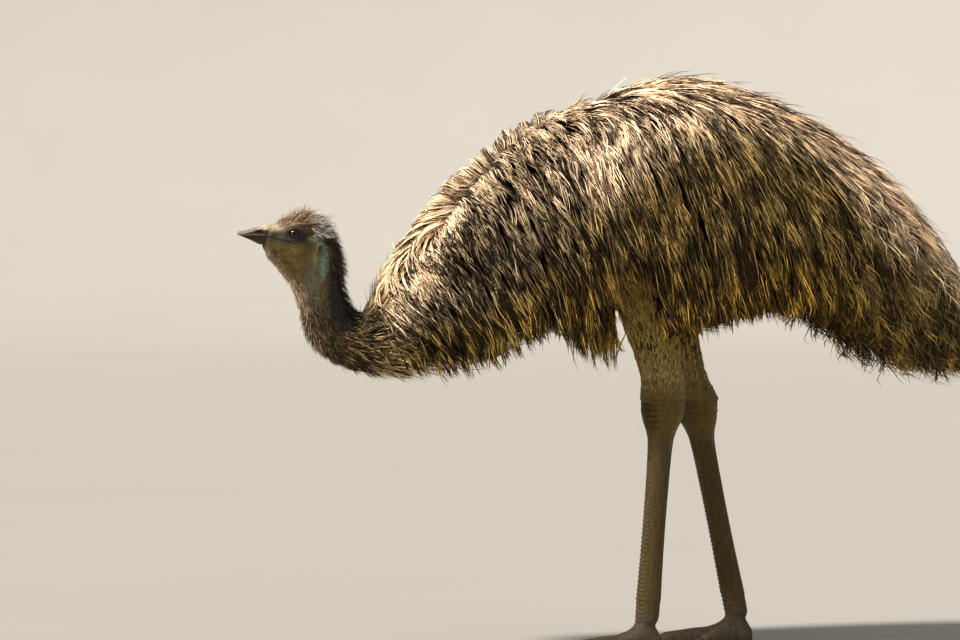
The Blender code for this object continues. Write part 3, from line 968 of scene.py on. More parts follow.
eye_finish, shader, place = start_finish("eye", roughness=0.12, specular=0.3)
shader.inputs["Coat Weight"].default_value = 0.18
shader.inputs["Coat Roughness"].default_value = 0.03
look, _ = painted(place, "look")
off_axis, round_share, _ = look.parts()
streaks = (round_share * 40.0).wave() * 0.5 + 0.5
iris = (streaks * 0.5 + place.noise(1500) * 0.6).mix((0.014, 0.004, 0.002), (0.04, 0.014, 0.005))
iris = off_axis.rise(0.125, 0.19).mix(iris, (0.016, 0.007, 0.003))
seen = off_axis.rise(0.1, 0.112).mix((0.001, 0.001, 0.001), iris)
seen = off_axis.rise(0.195, 0.215).mix(seen, (0.005, 0.004, 0.003))
connect(shader, Base_Color=seen)
for word, side in SIDES.items():
    eye_piece = show(eyeball("eyeball_" + word, side), "eyeball_" + word, eye_finish)
    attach(eye_piece, "root")
    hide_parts("eye_" + word)
print("eyes turned with", EYE_SPOKES, "spokes")

# %% [markdown]
# ## Bill
# The bill is horn over bone: broad, low and soft-edged, with a long slot for the nostril on each
# side and a small nail at the tip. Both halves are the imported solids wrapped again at 0.7 mm, so
# that the nostril can be pressed in, and their backs are drawn into the face so no gap shows.

# %% Shape the bill
NOSTRIL_Y = 0.649
NOSTRIL_Z = 0.7535


def bill_half(name, upper):
    """A half of the bill with its nostril, rim and nail."""
    mesh = fuse(name + "_horn", welded([name]), BILL_VOXEL, 3)
    points, facing = surface(mesh)
    x, y, z = points.T
    up, aside = facing[:, 2], np.abs(x)
    move = np.zeros(len(points))
    if upper:
        drop = z - NOSTRIL_Z + 0.3 * (y + NOSTRIL_Y)
        slot = ((y + NOSTRIL_Y) / 0.0078) ** 2 + (drop / 0.0019) ** 2
        side_on = step_up(np.abs(facing[:, 0]), 0.3, 0.6)
        move -= 0.0021 * np.exp(-slot ** 2) * side_on
        move += 0.0005 * bell(np.sqrt(slot) - 1.7, 0.4) * side_on
        move += 0.0009 * bell(x, 0.0032) * step_up(up, 0.3, 0.8)
        move -= 0.0006 * bell(aside - 0.006, 0.0022) * step_up(up, 0.3, 0.8)
        move += 0.0007 * bell(y + 0.683, 0.0035) * step_up(up, -0.2, 0.5)
    else:
        move -= 0.0006 * bell(x, 0.003) * step_up(-up, 0.3, 0.8)
        move += 0.0004 * bell(aside - 0.0065, 0.0025) * step_up(-up, 0.2, 0.8)
    points = points + facing * move[:, None]
    back = step_up(behind_bill(points), -0.0032, -0.0003)
    points[:, 1] += 0.01 * back
    points[:, 0] *= 1 - 0.22 * back
    points[:, 2] += (BILL_HEIGHT - points[:, 2]) * 0.12 * back
    set_points(mesh, points)
    return mesh


# %% Finish of the bill
bill_finish, shader, place = start_finish("bill_horn", roughness=0.5, specular=0.1)
_, along, high = place.parts()
# Painted highlight: a pale line along the top of the upper bill, widening and turning pink at its
# back, where light catches the ridge.
ridge_highlight = (high + (along + 0.645) * -0.3).rise(0.7578, 0.7612)
ridge_highlight = 1 - (1 - ridge_highlight) * (1 - along.rise(-0.648, -0.64) * high.rise(0.7552, 0.7582))
rim = high.rise(0.7465, 0.7475) * (1 - high.rise(0.7485, 0.7505))
scratch = (place * (1.0, 0.18, 1.0)).noise(900)
horn = (0.35 + 0.9 * scratch) * place.noise(190).mix((0.012, 0.01, 0.008), (0.046, 0.037, 0.028))
# painted highlight along the ridge of the bill
horn = (ridge_highlight * 0.85).mix(horn, (0.34, 0.3, 0.25))
horn = (ridge_highlight * along.rise(-0.66, -0.642) * 0.85).mix(horn, (0.66, 0.53, 0.42))
# painted highlight: a pale line along the edge of the upper bill above the gape
horn = (rim * 0.55).mix(horn, (0.26, 0.19, 0.12))
slot_gap = (along + NOSTRIL_Y) * (along + NOSTRIL_Y) * 13000.0
slot_rise = high - NOSTRIL_Z + (along + NOSTRIL_Y) * 0.3
slot = 1 - (slot_gap + slot_rise * slot_rise * 210000.0).rise(0.5, 1.3)
# painted shade in the nostril slot
horn = (slot * 0.9).mix(horn, (0.006, 0.005, 0.004))
below_rim = 1 - (high - (along + 0.636) * -0.06).rise(0.7385, 0.741)
stubbly = place.cells(1500).mix((0.022, 0.017, 0.009), (0.075, 0.056, 0.026))
horn = (below_rim * along.rise(-0.676, -0.66)).mix(horn, stubbly)
horn = (along.rise(-0.652, -0.634) * (1 - ridge_highlight) * 0.9).mix(horn, (0.054, 0.051, 0.04))
connect(shader, Base_Color=horn, Roughness=0.38 + 0.3 * scratch, Normal=scratch.bump(0.25, 0.0004))
for word in ("upper", "lower"):
    half = show(bill_half("bill_" + word, word == "upper"), f"bill_{word}_horn", bill_finish)
    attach(half, "root")
    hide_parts("bill_" + word)
    print(half.name, triangles(half.data), "triangles")

# %% [markdown]
# ## Claws
# Each toe ends in a stout claw, curved on top and flat below, with fine growth lines across it
# and a worn, paler tip. The solids are wrapped at 0.8 mm and eased, which rounds their edges as
# wear does.

# %% Make the claws
claw_finish, shader, place = start_finish("claw_horn", roughness=0.4, specular=0.5)
growth = (place * (0.6, 1.0, 0.6)).noise(700)
worn = place.noise(260, 4.0).rise(0.45, 0.75)
horn = worn.mix((0.024, 0.02, 0.018), (0.12, 0.098, 0.075)) * (0.6 + 0.7 * growth)
connect(shader, Base_Color=horn, Roughness=0.34 + 0.3 * worn, Normal=growth.bump(0.4, 0.0005))
for word in SIDES:
    for toe in TOES:
        mesh = fuse("claw", welded([f"claw_{toe}_{word}"]), CLAW_VOXEL, 3)
        claw = show(mesh, f"claw_{toe}_{word}_horn", claw_finish)
        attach(claw, "root")
        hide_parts(f"claw_{toe}_{word}")
print("six claws made")

# %% [markdown]
# ## How a feather is built
# An emu's feather is a long loose strand, and many hang together in a pointed lock. Each strand
# here is a thin closed prism: a flat underside and a raised ridge, four rings and a point, 22
# triangles. Thousands are made at once as arrays. Each carries its place along and across, two
# chance numbers and a colour of its own, and its patch of the unwrap is a small square at the
# place of its root.

# %% Find the faces and points of strands
STRAND_EDGES = ((0, 1, 0.0, 0.33), (1, 2, 0.33, 0.66), (2, 0, 0.66, 1.0))


def strand_faces(rings):
    """The faces of one strand, and the corners of each on the strand's own patch."""
    levels = np.linspace(0, 1, rings + 1)
    corners, patch = [], []
    for ring in range(rings):
        low, high = 3 * ring, 3 * ring + 3
        for first, second, left, right in STRAND_EDGES:
            face = [low + first, low + second]
            spots = [(left, levels[ring]), (right, levels[ring])]
            if ring < rings - 1:
                face += [high + second, high + first]
                spots += [(right, levels[ring + 1]), (left, levels[ring + 1])]
            else:
                face.append(high)
                spots.append(((left + right) / 2, 1.0))
            corners.append(face)
            patch += spots
    corners.append((0, 2, 1))
    return corners, np.array(patch + [(0.0, 0.0), (1.0, 0.0), (0.5, 0.02)])


def strand_points(lines, out, half_width, thick, roll):
    """Three points round each line at every place but the last, which is the tip."""
    count, rings = lines.shape[0], lines.shape[1] - 1
    along = unit(np.gradient(lines, axis=1))
    side = unit(np.cross(along, out))
    lift = unit(np.cross(side, along))
    side = side * np.cos(roll) + lift * np.sin(roll)
    lift = unit(np.cross(side, along))
    wide = half_width[:, :-1, None]
    base, shift = lines[:, :-1], side[:, :-1] * wide
    ringed = np.stack([base - shift, base + lift[:, :-1] * wide * thick, base + shift], axis=2)
    return np.concatenate([ringed.reshape(count, rings * 3, 3), lines[:, -1:]], axis=1)


# %% Make a mesh of many strands
PATCH = 0.003
TWIST = 1.3


def strand_mesh(name, lines, out, half_width, thick, chance, tint, unwrap):
    """Thin prisms along lines, painted with their chances and their colours."""
    count, rings = lines.shape[0], lines.shape[1] - 1
    size = rings * 3 + 1
    roll = (chance[:, 2] - 0.5)[:, None, None] * TWIST
    verts = strand_points(lines, out, half_width, thick, roll)
    corners, patch = strand_faces(rings)
    loops = np.concatenate(corners)[None, :] + (np.arange(count) * size)[:, None]
    face_sizes = np.tile([len(face) for face in corners], count)
    starts = np.concatenate([[0], np.cumsum(face_sizes)[:-1]])
    mesh = bpy.data.meshes.new(name)
    mesh.vertices.add(count * size)
    mesh.vertices.foreach_set("co", verts.astype(np.float32).ravel())
    mesh.loops.add(loops.size)
    mesh.loops.foreach_set("vertex_index", loops.ravel().astype(np.int32))
    mesh.polygons.add(len(face_sizes))
    mesh.polygons.foreach_set("loop_start", starts.astype(np.int32))
    mesh.update(calc_edges=True)
    places = unwrap[:, None, :] * (1 - PATCH) + patch[None, :, :] * PATCH
    unwrapped = mesh.uv_layers.new(name="OFBake")
    unwrapped.uv.foreach_set("vector", places.astype(np.float32).ravel())
    strand = np.empty((count, size, 4))
    strand[:, :, 0] = np.append(np.repeat(np.linspace(0, 1, rings + 1)[:-1], 3), 1.0)
    strand[:, :, 1] = np.append(np.tile([0.0, 0.5, 1.0], rings), 0.5)
    strand[:, :, 2:] = chance[:, None, :2]
    paint(mesh, "strand", strand)
    tints = np.ones((count, size, 4))
    tints[:, :, :tint.shape[1]] = tint[:, None, :]
    paint(mesh, "tint", tints)
    return mesh


# %% Scatter roots over a surface
def nearest(tree, points):
    """The nearest places on a surface, and the way it faces there."""
    found = [tree.find_nearest(Vector(point))[:2] for point in points]
    return np.array([place[:] for place, _ in found]), np.array([way[:] for _, way in found])


def face_table(mesh):
    """The middles, areas and directions of a mesh's faces."""
    faces = mesh.polygons
    return rows_of(faces, "center"), rows_of(faces, "area", 1)[:, 0], rows_of(faces, "normal")


def scatter(table, weight, count, rng):
    """Choose places on faces, more on the larger ones and where the weight is higher."""
    middles, areas, ways = table
    share = areas * weight
    chosen = rng.choice(len(areas), size=count, p=share / share.sum())
    reach = np.sqrt(areas[chosen])[:, None]
    return middles[chosen] + rng.uniform(-0.5, 0.5, (count, 3)) * reach, ways[chosen]


def along_surface(way, out):
    """Turn directions so that they run along a surface that faces out."""
    return unit(way - out * (way * out).sum(axis=1, keepdims=True))


outline_faces = face_table(outline)
skin_faces = face_table(skin_mesh)
print("coat area", round(float(outline_faces[1].sum()), 2), "square metres")

# %% [markdown]
# ## The lie of the coat
# From a parting along the back the feathers arch out to both sides, turn down the flanks with a
# slight lean to the rear, and hang straight down once the body curves away below them. Over the
# tail they run back and down. Each lock walks along the outline in small steps, always in the
# direction that gives, and lies down on the surface again after each step. The coat opens round
# the front of each thigh, and hangs a little lower just before it.

# %% Find the hem of the coat
OPENINGS = {1: 0.014, -1: 0.086}
OPENING_HEIGHT = 0.64
HEM_PLACES = [-0.07, -0.04, -0.01, 0.15, 0.23, 0.36, 0.45, 0.487, 0.52, 0.56]
HEM_RISE = [0.0, -0.01, 0.0, 0.0, 0.012, 0.018, 0.012, -0.008, 0.006, 0.0]


def opening_at(x):
    """The place along the bird where the coat opens, on the side of each point."""
    return np.where(x > 0, OPENINGS[1], OPENINGS[-1])


def thigh_share(points):
    """How surely a place is over a thigh, where the coat opens, from 0 to 1."""
    x, y, _ = points.T
    middle = opening_at(x)
    share = band(y, middle - 0.052, middle - 0.028, middle + 0.008, middle + 0.04)
    return share * step_up(np.abs(x), 0.02, 0.06)


def hem(points):
    """The height at which the coat ends."""
    x, y, _ = points.T
    middle = opening_at(x)
    low = floor_at(y) + np.interp(y, HEM_PLACES, HEM_RISE)
    before = band(y, middle - 0.152, middle - 0.102, middle - 0.046, middle - 0.03)
    drop = 0.074 * before * step_up(np.abs(x), 0.05, 0.1)
    return low + (OPENING_HEIGHT - low) * thigh_share(points) - drop


# %% Comb the locks
LOCK_STEPS = 6
FLESH_GAP = 0.012
LIE_PLACES = [-0.46, -0.38, -0.3, -0.1, 0.1, 0.3, 0.5, 0.69]
LEAN_BACK = [1.6, 1.1, 0.75, 0.42, 0.3, 0.34, 0.42, 0.3]
PARTING = [1.3, 1.6, 1.5, 0.7, 0.5, 0.22, -0.1, -0.2]
CREST_BACK = [0.1, 0.1, 0.15, 0.8, 1.0, 1.0, 1.0, 1.0]
LOCK_LENGTH = [0.05, 0.08, 0.11, 0.15, 0.165, 0.185, 0.225, 0.19]


def lie(place, out, lean):
    """The direction in which the coat lies at each place on the outline."""
    crest = step_up(out[:, 2], 0.66, 0.99) * np.interp(place[:, 1], LIE_PLACES, CREST_BACK)
    apart = np.interp(place[:, 1], LIE_PLACES, PARTING) * step_up(out[:, 2], 0.25, 0.9)
    along_way = 1 - 0.6 * parting_share(place, 0.024)
    way = np.column_stack([apart * np.tanh(parting_gap(place) / 0.008),
                           (lean + (1.0 - 0.5 * lean) * crest) * along_way,
                           (0.85 * crest - 1.0) * along_way])
    return along_surface(way, out)


def comb(roots, length, sway, ends):
    """Walk locks along the outline and return their paths and the way out at each step."""
    place, out = nearest(outline_tree, roots)
    lying = out[:, 2] < -0.8
    path, ups = [place], [out]
    hanging = np.zeros(len(roots), dtype=bool)
    step = length / LOCK_STEPS
    for index in range(LOCK_STEPS):
        lean = np.interp(place[:, 1], LIE_PLACES, LEAN_BACK) + sway
        rearward = unit(np.array([0, 1.0, 0]) - out * out[:, 1:2])
        way = np.where(lying[:, None], rearward, lie(place, out, lean))
        hanging |= (out[:, 2] < -0.3) & ~lying
        fall = unit(np.column_stack([np.zeros(len(place)), 0.6 * lean, -np.ones(len(place))]))
        room = (place[:, 2] - hem(place) - ends) / (LOCK_STEPS - index)
        near_hem = ~lying & (hanging | (out[:, 2] < 0.3))
        pace = np.where(near_hem, np.clip(room, 0.06 * step, step), step)
        ahead = place + np.where(hanging[:, None], fall, way) * pace[:, None]
        settled, facing_out = nearest(outline_tree, ahead)
        place = np.where(hanging[:, None], ahead, settled)
        place[:, 2] = np.where(lying, np.maximum(place[:, 2], hem(place) + 0.03), place[:, 2])
        out = unit(np.where(hanging[:, None], out * 0.7 + facing_out * 0.3, facing_out))
        close = 0.42 * thigh_share(place) * step_down(place[:, 2], 0.64, 0.735)
        below, below_out = nearest(skin_tree, place)
        place = place + (below + FLESH_GAP * below_out - place) * close[:, None]
        path.append(place)
        ups.append(out)
    return np.stack(path, axis=1), np.stack(ups, axis=1)


# %% Fill locks with strands
STRANDS_PER_LOCK = 7
ALONG = np.array([0.0, 0.28, 0.56, 0.82, 1.0])
SWELL = np.array([0.6, 1.0, 1.0, 0.66, 0.0])
STRAND_HALF_WIDTH = 0.00116
SPREAD = 0.0095
COAT_DEPTH = 0.015
STRAY_SHARE = 0.04
STRAY_LIFT = 0.016
COAT_LIFT = 0.007
WIDEST = 0.2555


def roll_beside_parting(line):
    """How far the coat arches up beside the parting, and how evenly its strands lie there."""
    gap = np.abs(parting_gap(line.reshape(-1, 3))).reshape(len(line), -1)
    on_slope = step_up(-line[..., 1], 0.06, 0.16) * step_up(line[..., 2], 0.6, 0.68)
    arch = on_slope * (0.011 * bell(gap - 0.034, 0.034) - 0.005 * bell(gap, 0.006))
    return arch, 1 - 0.85 * on_slope * np.exp(-(gap / 0.09) ** 4)


def strands_of(path, ups, wave, rng):
    """Strands that start side by side on the skin and close in to the tip of their lock."""
    count = len(path) * STRANDS_PER_LOCK
    lock = np.repeat(np.arange(len(path)), STRANDS_PER_LOCK)[:, None]
    spot = rng.uniform(0.7, 1.0, (count, 1)) * ALONG * LOCK_STEPS
    before = np.minimum(spot.astype(int), LOCK_STEPS - 1)
    share = (spot - before)[..., None]
    line = path[lock, before] * (1 - share) + path[lock, before + 1] * share
    out = unit(ups[lock, before] * (1 - share) + ups[lock, before + 1] * share)
    side = unit(np.cross(unit(path[lock, before + 1] - path[lock, before]), out))
    stray = rng.random((count, 1)) < STRAY_SHARE
    gather = np.interp(path[:, 0, 1], [0.1, 0.4], [0.78, 0.9])[lock]
    close_in = np.where(stray, 1 + 1.2 * ALONG, 1 - gather * ALONG ** 1.2)
    offset = rng.uniform(-1, 1, (count, 1)) * SPREAD
    turns = rng.uniform(0.7, 1.5, (count, 1))
    phase = rng.uniform(0, 2 * math.pi, (count, 1))
    lock_phase = rng.uniform(0, 2 * math.pi, len(path))[lock]
    sideways = offset * close_in + wave * ALONG * np.sin(2 * math.pi * turns * ALONG + phase)
    sideways = sideways + 1.6 * wave * ALONG * np.sin(2 * math.pi * 0.9 * ALONG + lock_phase)
    sunk = rng.uniform(0, 1, len(path))[lock] * COAT_DEPTH + rng.uniform(-0.0015, 0.003, (count, 1))
    raised = np.where(stray, STRAY_LIFT * ALONG ** 2, 0.0) + 0.5 * wave * ALONG * np.sin(
        2 * math.pi * turns * ALONG + 1.7 * phase)
    arch, even = roll_beside_parting(line)
    lifted = (raised - sunk) * even + COAT_LIFT + arch
    line = line + side * sideways[..., None] + out * lifted[..., None]
    roots, _ = nearest(skin_tree, line[:, 0])
    line = line + (roots - line[:, 0])[:, None, :] * ((1 - ALONG) ** 2)[None, :, None]
    line[..., 0] = np.clip(line[..., 0], -WIDEST, WIDEST)
    wide = STRAND_HALF_WIDTH * rng.uniform(0.7, 1.25, (count, 1)) * SWELL
    return line, out, wide, roots, lock[:, 0]


# %% Finish of the coat
coat_finish, shader, place = start_finish("coat_feathers", roughness=0.55, specular=0.16)
strand, lock_chance = painted(place, "strand")
tint, sunlit = painted(place, "tint")
along, across, chance = strand.parts()
off_crest = ((across - 0.5) * (across - 0.5)) * 4.0
streak = (strand * (3.2, 2.0, 47.0) + place * 24.0).noise(1.0, 2.0)
barbs = (along * 310.0 - off_crest * 9.0 + chance * 40.0).wave() * 0.5 + 0.5
patches = (place * (1.0, 1.0, 0.5)).noise(27, 2.0).rise(0.36, 0.64)
# Fair strands grow more common where the coat carries painted sunlight: on its top and beside the
# parting.
fair = (chance + 0.22 * sunlit + 0.45 * patches).rise(0.6, 1.25)
dark = 1 - (chance + 0.14 * sunlit + 0.4 * patches).rise(0.43, 0.62)
# Strands darken toward their roots, painted shade deep in the coat. Beside the parting the roots
# stay light, painted sunlight on the open parting.
lit_root = sunlit.rise(1.05, 1.55)
shade = (0.2 + 2.5 * fair) * (0.36 + 1.22 * lock_chance)
shade = shade * (0.06 + 0.94 * along.rise(0.12, 0.6) * (1 - lit_root) + 0.8 * lit_root)
shade = shade * (1.15 - 0.5 * off_crest) * (0.45 + 1.1 * streak) * (0.92 + 0.12 * barbs)
colour = (dark * 0.9 * (1 - 0.7 * lit_root)).mix(tint * shade, (0.024, 0.0145, 0.0048))
dark_tip = along.rise(0.8, 1.0) * (1 - lock_chance.rise(0.35, 0.6)) * 0.7
colour = dark_tip.mix(colour, (0.042, 0.028, 0.013))
normal = (barbs * 0.6 + streak * 0.8).bump(0.35, 0.0006)
connect(shader, Base_Color=colour, Roughness=0.46 + 0.28 * streak, Normal=normal)
print("coat finish has", len(coat_finish.node_tree.nodes), "nodes")

# %% [markdown]
# ## The long coat, in eight pieces
# A piece of fewer than 200,000 triangles is easy to handle, so the coat is made in four lengths
# of each side. Locks are scattered evenly over the outline, more of them along the parting, and
# a piece takes those that root in its own stretch. Locks that would bunch, bend over an edge or
# hang loose in an opening are left out.

# %% Choose locks and their colours
PIECES = {"shoulder": (-0.46, -0.13), "saddle": (-0.13, 0.12),
          "hip": (0.12, 0.34), "tail": (0.34, 0.66)}
LOCKS = {"shoulder": 960, "saddle": 940, "hip": 900, "tail": 960}
BEND_LIMIT = 1.14


def root_weight(start, end, side):
    """How many locks root at each face of the outline, for one piece of the coat."""
    middles, _, ways = outline_faces
    edge = hem(middles)
    mine = (middles[:, 1] >= start) & (middles[:, 1] < end) & (middles[:, 0] * side > 0)
    clear = (middles[:, 2] > edge - 0.004) | (ways[:, 2] > -0.3)
    clear = clear & ~((ways[:, 2] < 0.2) & (middles[:, 2] < edge + 0.012) & (edge > 0.62))
    below = np.where(ways[:, 2] < -0.6, 0.45, 1.0)
    return mine * clear * below * (1 + 5.0 * parting_share(middles, 0.02))


def lies_well(path, roots, ways, length, side):
    """Which locks neither bunch, nor bend over an edge, nor hang loose in an opening."""
    tips = path[:, -1]
    over_thigh = thigh_share(roots)
    straight = np.linalg.norm(tips - path[:, 0], axis=1)
    walked = np.linalg.norm(np.diff(path, axis=1), axis=2).sum(axis=1)
    at_opening = np.maximum(over_thigh, thigh_share(tips)) > 0.02
    inside = (np.abs(tips[:, 0]) < 0.13) & (tips[:, 2] < 0.64)
    loose = inside & (np.abs(tips[:, 1] - OPENINGS[side] + 0.03) < 0.07)
    bent = (walked > BEND_LIMIT * straight) | (at_opening & (ways[:, 2] < -0.5))
    full = straight > (0.5 + 0.15 * over_thigh) * length
    return full & ~loose & ~((roots[:, 2] < 0.7) & bent)


def lock_tint(line, part):
    """The colour of each strand and its share of painted sunlight, which is greater beside the
    parting.
    """
    tips = line[:, -1]
    fringe = 0.75 * step_up(hem(tips) + 0.045 - tips[:, 2], 0, 0.03)
    tint = layered(
        body_colour(line[:, 2]),
        # beside the parting: the feathers' pale bases and painted sunlight on the arching ribs
        ((0.72, 0.55, 0.38), 0.85 * part),
        ((0.23, 0.13, 0.024), fringe * step_up(tips[:, 1], -0.12, -0.07)),
        ((0.15, 0.106, 0.036), fringe * step_down(tips[:, 1], -0.12, -0.07)),
    )
    return np.column_stack([tint, sunlit_share(line[:, 2]) + 0.8 * part])


# %% Grow the long coat
def long_coat(stretch, word, side, seed):
    """One piece of the long coat: a stretch of one side of the bird."""
    rng = np.random.default_rng(seed)
    start, end = PIECES[stretch]
    roots, ways = scatter(outline_faces, root_weight(start, end, side), LOCKS[stretch], rng)
    roots[:, 0] = side * np.abs(roots[:, 0])
    x, y, z = roots.T
    gap = parting_gap(roots)
    length = np.interp(y, LIE_PLACES, LOCK_LENGTH) * rng.uniform(0.85, 1.12, len(roots))
    length = np.where(ways[:, 2] < -0.35, np.minimum(length, 0.09), length)
    loose = np.interp(y, [-0.3, -0.1, 0.3, 0.48], [0.13, 0.1, 0.09, 0.18])
    beside = step_up(z, 0.62, 0.7) * bell(gap, 0.022)
    sway = rng.normal(0, 1, len(roots)) * loose * (1 - 0.6 * beside)
    beyond = step_up(-gap, 0.0, 0.01) * step_up(0.12 + gap, 0.0, 0.02) * step_up(-y, 0.08, 0.2)
    length = length * (1 - 0.3 * beside * (1 - beyond) * (y < -0.1)) + 0.055 * beyond
    ends = rng.uniform(0.0, 0.022, len(roots)) + 0.05 * rng.random(len(roots)) * thigh_share(roots)
    between_legs = step_down(np.abs(x), 0.07, 0.11) * (np.abs(y - 0.07) < 0.19)
    path, ups = comb(roots, length, sway, ends + 0.055 * between_legs)
    full = lies_well(path, roots, ways, length, side)
    path, ups, beyond = path[full], ups[full], beyond[full]
    wave = np.interp(y[full], [0.22, 0.5], [0.0026, 0.0135])
    wave = np.repeat(wave, STRANDS_PER_LOCK)[:, None]
    line, out, wide, feet, lock = strands_of(path, ups, wave, rng)
    chance = [rng.random(len(line)), rng.random(len(path))[lock], rng.random(len(line))]
    chance = np.column_stack(chance)
    # Beside the parting and just beyond it the strands are paler and fairer: pale feather bases and
    # painted sunlight on the arching ribs.
    part = np.maximum(parting_share(line[:, 1], 0.024), 0.95 * beyond[lock])
    chance[:, 1] = np.maximum(chance[:, 1], 0.6 * part)
    turn = np.arctan2(np.abs(feet[:, 0]), feet[:, 2] - floor_at(feet[:, 1]) - 0.2)
    unwrap = np.column_stack([(feet[:, 1] - start + 0.1) / (end - start + 0.2), turn / math.pi])
    name = f"coat_{stretch}_{word}"
    tint = lock_tint(line, part)
    mesh = strand_mesh(name, line, out, wide, 0.75, chance, tint, unwrap.clip(0, 1))
    piece = show(mesh, name, coat_finish)
    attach(piece, "root")
    print(name, triangles(mesh), "triangles")


seed = 11
for stretch in PIECES:
    for word, side in SIDES.items():
        long_coat(stretch, word, side, seed)
        seed += 1

# %% [markdown]
# ## Short hair
# On the face, the neck and the thighs the feathers are as short as hair. They are thin prisms
# too, of one or two bends only, rooted straight on the skin. They lie along a line that runs
# from the bill over the head and down the neck, and stand up where the photograph shows a fringe.

# %% Find the way hair lies along the head and neck
HEAD_LINE = np.array([
    (-0.686, 0.75), (-0.642, 0.752), (-0.622, 0.745), (-0.604, 0.74), (-0.585, 0.731),
    (-0.567, 0.717), (-0.553, 0.699), (-0.54, 0.66), (-0.528, 0.612), (-0.515, 0.584),
    (-0.49, 0.565), (-0.463, 0.559), (-0.425, 0.57), (-0.38, 0.585),
])


def down_the_neck(points):
    """The direction from bill to body at each point."""
    middles = (HEAD_LINE[1:] + HEAD_LINE[:-1]) / 2
    ways = unit(HEAD_LINE[1:] - HEAD_LINE[:-1])
    gaps = points[:, None, 1:] - middles[None]
    nearness = np.exp(-(gaps ** 2).sum(axis=2) / (2 * 0.018 ** 2)) + 1e-12
    mixed = (nearness[:, :, None] * ways[None]).sum(axis=1)
    return unit(np.column_stack([np.zeros(len(points)), mixed]))


# %% Grow hair on a part of the skin
def short_hair(name, weight, count, look, bends, finish, unwrap, seed):
    """Grow short hair on the skin. The look gives its way, lift, length, width and colour."""
    rng = np.random.default_rng(seed)
    spots, _ = scatter(skin_faces, weight, count, rng)
    roots, out = nearest(skin_tree, spots)
    way, lift, length, half_width, tint = look(roots, out, rng)
    way = along_surface(way + rng.normal(0, 0.16, way.shape), out)
    lift = np.clip(lift + rng.normal(0, 0.1, count), 0.04, 1.5)[:, None]
    heading = way * np.cos(lift) + out * np.sin(lift)
    droop = (way * np.sin(lift) - out * np.cos(lift)) * 0.22
    share = np.linspace(0, 1, bends + 2)
    long = length[:, None, None]
    line = roots[:, None] - out[:, None] * 0.0006
    line = line + heading[:, None] * long * share[None, :, None]
    line = line + droop[:, None] * long * (share ** 2)[None, :, None]
    wide = half_width[:, None] * np.array([0.8, 1.0, 0.7][:bends + 1] + [0.0])
    chance = np.column_stack([rng.random(count), rng.random(count), rng.random(count)])
    outs = np.repeat(out[:, None], bends + 2, axis=1)
    mesh = strand_mesh(name, line, outs, wide, 0.7, chance, tint, unwrap(roots).clip(0, 1))
    piece = show(mesh, name, finish)
    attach(piece, "root")
    print(name, triangles(mesh), "triangles")
    return piece


def round_unwrap(middle_y, low_z, high_z):
    """An unwrap of an upright limb: the angle round it and the height."""
    def places(points):
        x, y, z = points.T
        turn = np.arctan2(x, y - middle_y(z))
        return np.column_stack([turn / (2 * math.pi) + 0.5, (z - low_z) / (high_z - low_z)])
    return places


def neck_middle(height):
    """The place along the bird of the middle of the neck and head at a height."""
    return np.interp(height, [0.56, 0.612, 0.66, 0.7, 0.8], [-0.5, -0.528, -0.54, -0.56, -0.59])


head_unwrap = round_unwrap(neck_middle, 0.66, 0.8)
neck_unwrap = round_unwrap(neck_middle, 0.5, 0.7)


# %% Finish of the short hair
def hair_finish(name, dark_share, fair_share, dark_colour, fair_gain):
    """Hair coloured by its root, with some dark hairs and some fair ones."""
    material, shader, place = start_finish(name, roughness=0.6, specular=0.3)
    along, _, chance = painted(place, "strand")[0].parts()
    tint, _ = painted(place, "tint")
    fair = chance.rise(1 - fair_share, 1.0)
    dark = 1 - chance.rise(dark_share * 0.7, dark_share * 1.3)
    shade = (0.55 + 0.55 * along) * (1 + fair_gain * fair) * (0.75 + 0.5 * place.noise(300))
    connect(shader, Base_Color=dark.mix(tint * shade, dark_colour), Roughness=0.5 + 0.25 * chance,
            Normal=place.noise(2400, 2.0).bump(0.25, 0.0003))
    return material


face_hair_finish = hair_finish("face_hair", 0.22, 0.3, (0.02, 0.016, 0.013), 1.5)
neck_hair_finish = hair_finish("neck_hair", 0.36, 0.2, (0.014, 0.011, 0.008), 1.7)
thigh_finish = hair_finish("thigh_feathers", 0.15, 0.25, (0.036, 0.022, 0.007), 0.6)
print("finishes for the hair of face, neck and thighs made")

# %% Where hair grows on the head and neck
middles, _, ways = skin_faces
x, y, z = middles.T
hairy = step_up(gap_to(middles, EYES), 0.015, 0.0175)
hairy = hairy * step_up(gap_to(middles, EARS, (1, 1, 1.25)), 0.007, 0.0095)
hairy = hairy * step_up(y, -0.64, -0.63) * (1 - 0.88 * blue_share(middles))
hairy = hairy * (1 - 0.75 * near_place(middles, (-0.617, 0.75), (0.011, 0.0085)))
hairy = hairy * step_up(off_line(middles, *MOUTH_CORNER), 0.0012, 0.003)
on_head = hairy * (y < -0.44) * step_up(z, 0.676, 0.69)
on_neck = hairy * (y < -0.44) * step_down(z, 0.68, 0.694)
hind = step_up(y, -0.575, -0.55)
crown = step_up(ways[:, 2] + 0.55 * hind, 0.45, 0.85) * step_up(z + 0.016 * hind, 0.758, 0.77)
crown = crown * (y < -0.505) * step_up(y, -0.622, -0.604)
bald_brow = step_up(ways[:, 2], 0.35, 0.7) * step_down(y, -0.622, -0.606)
on_head = on_head * (1 - 0.8 * crown) * (1 - bald_brow)
on_crown = crown * hairy * (0.45 + 0.55 * step_up(y, -0.6, -0.57))
print("hair of head and neck may root on", int((on_head + on_crown + on_neck > 0).sum()), "faces")


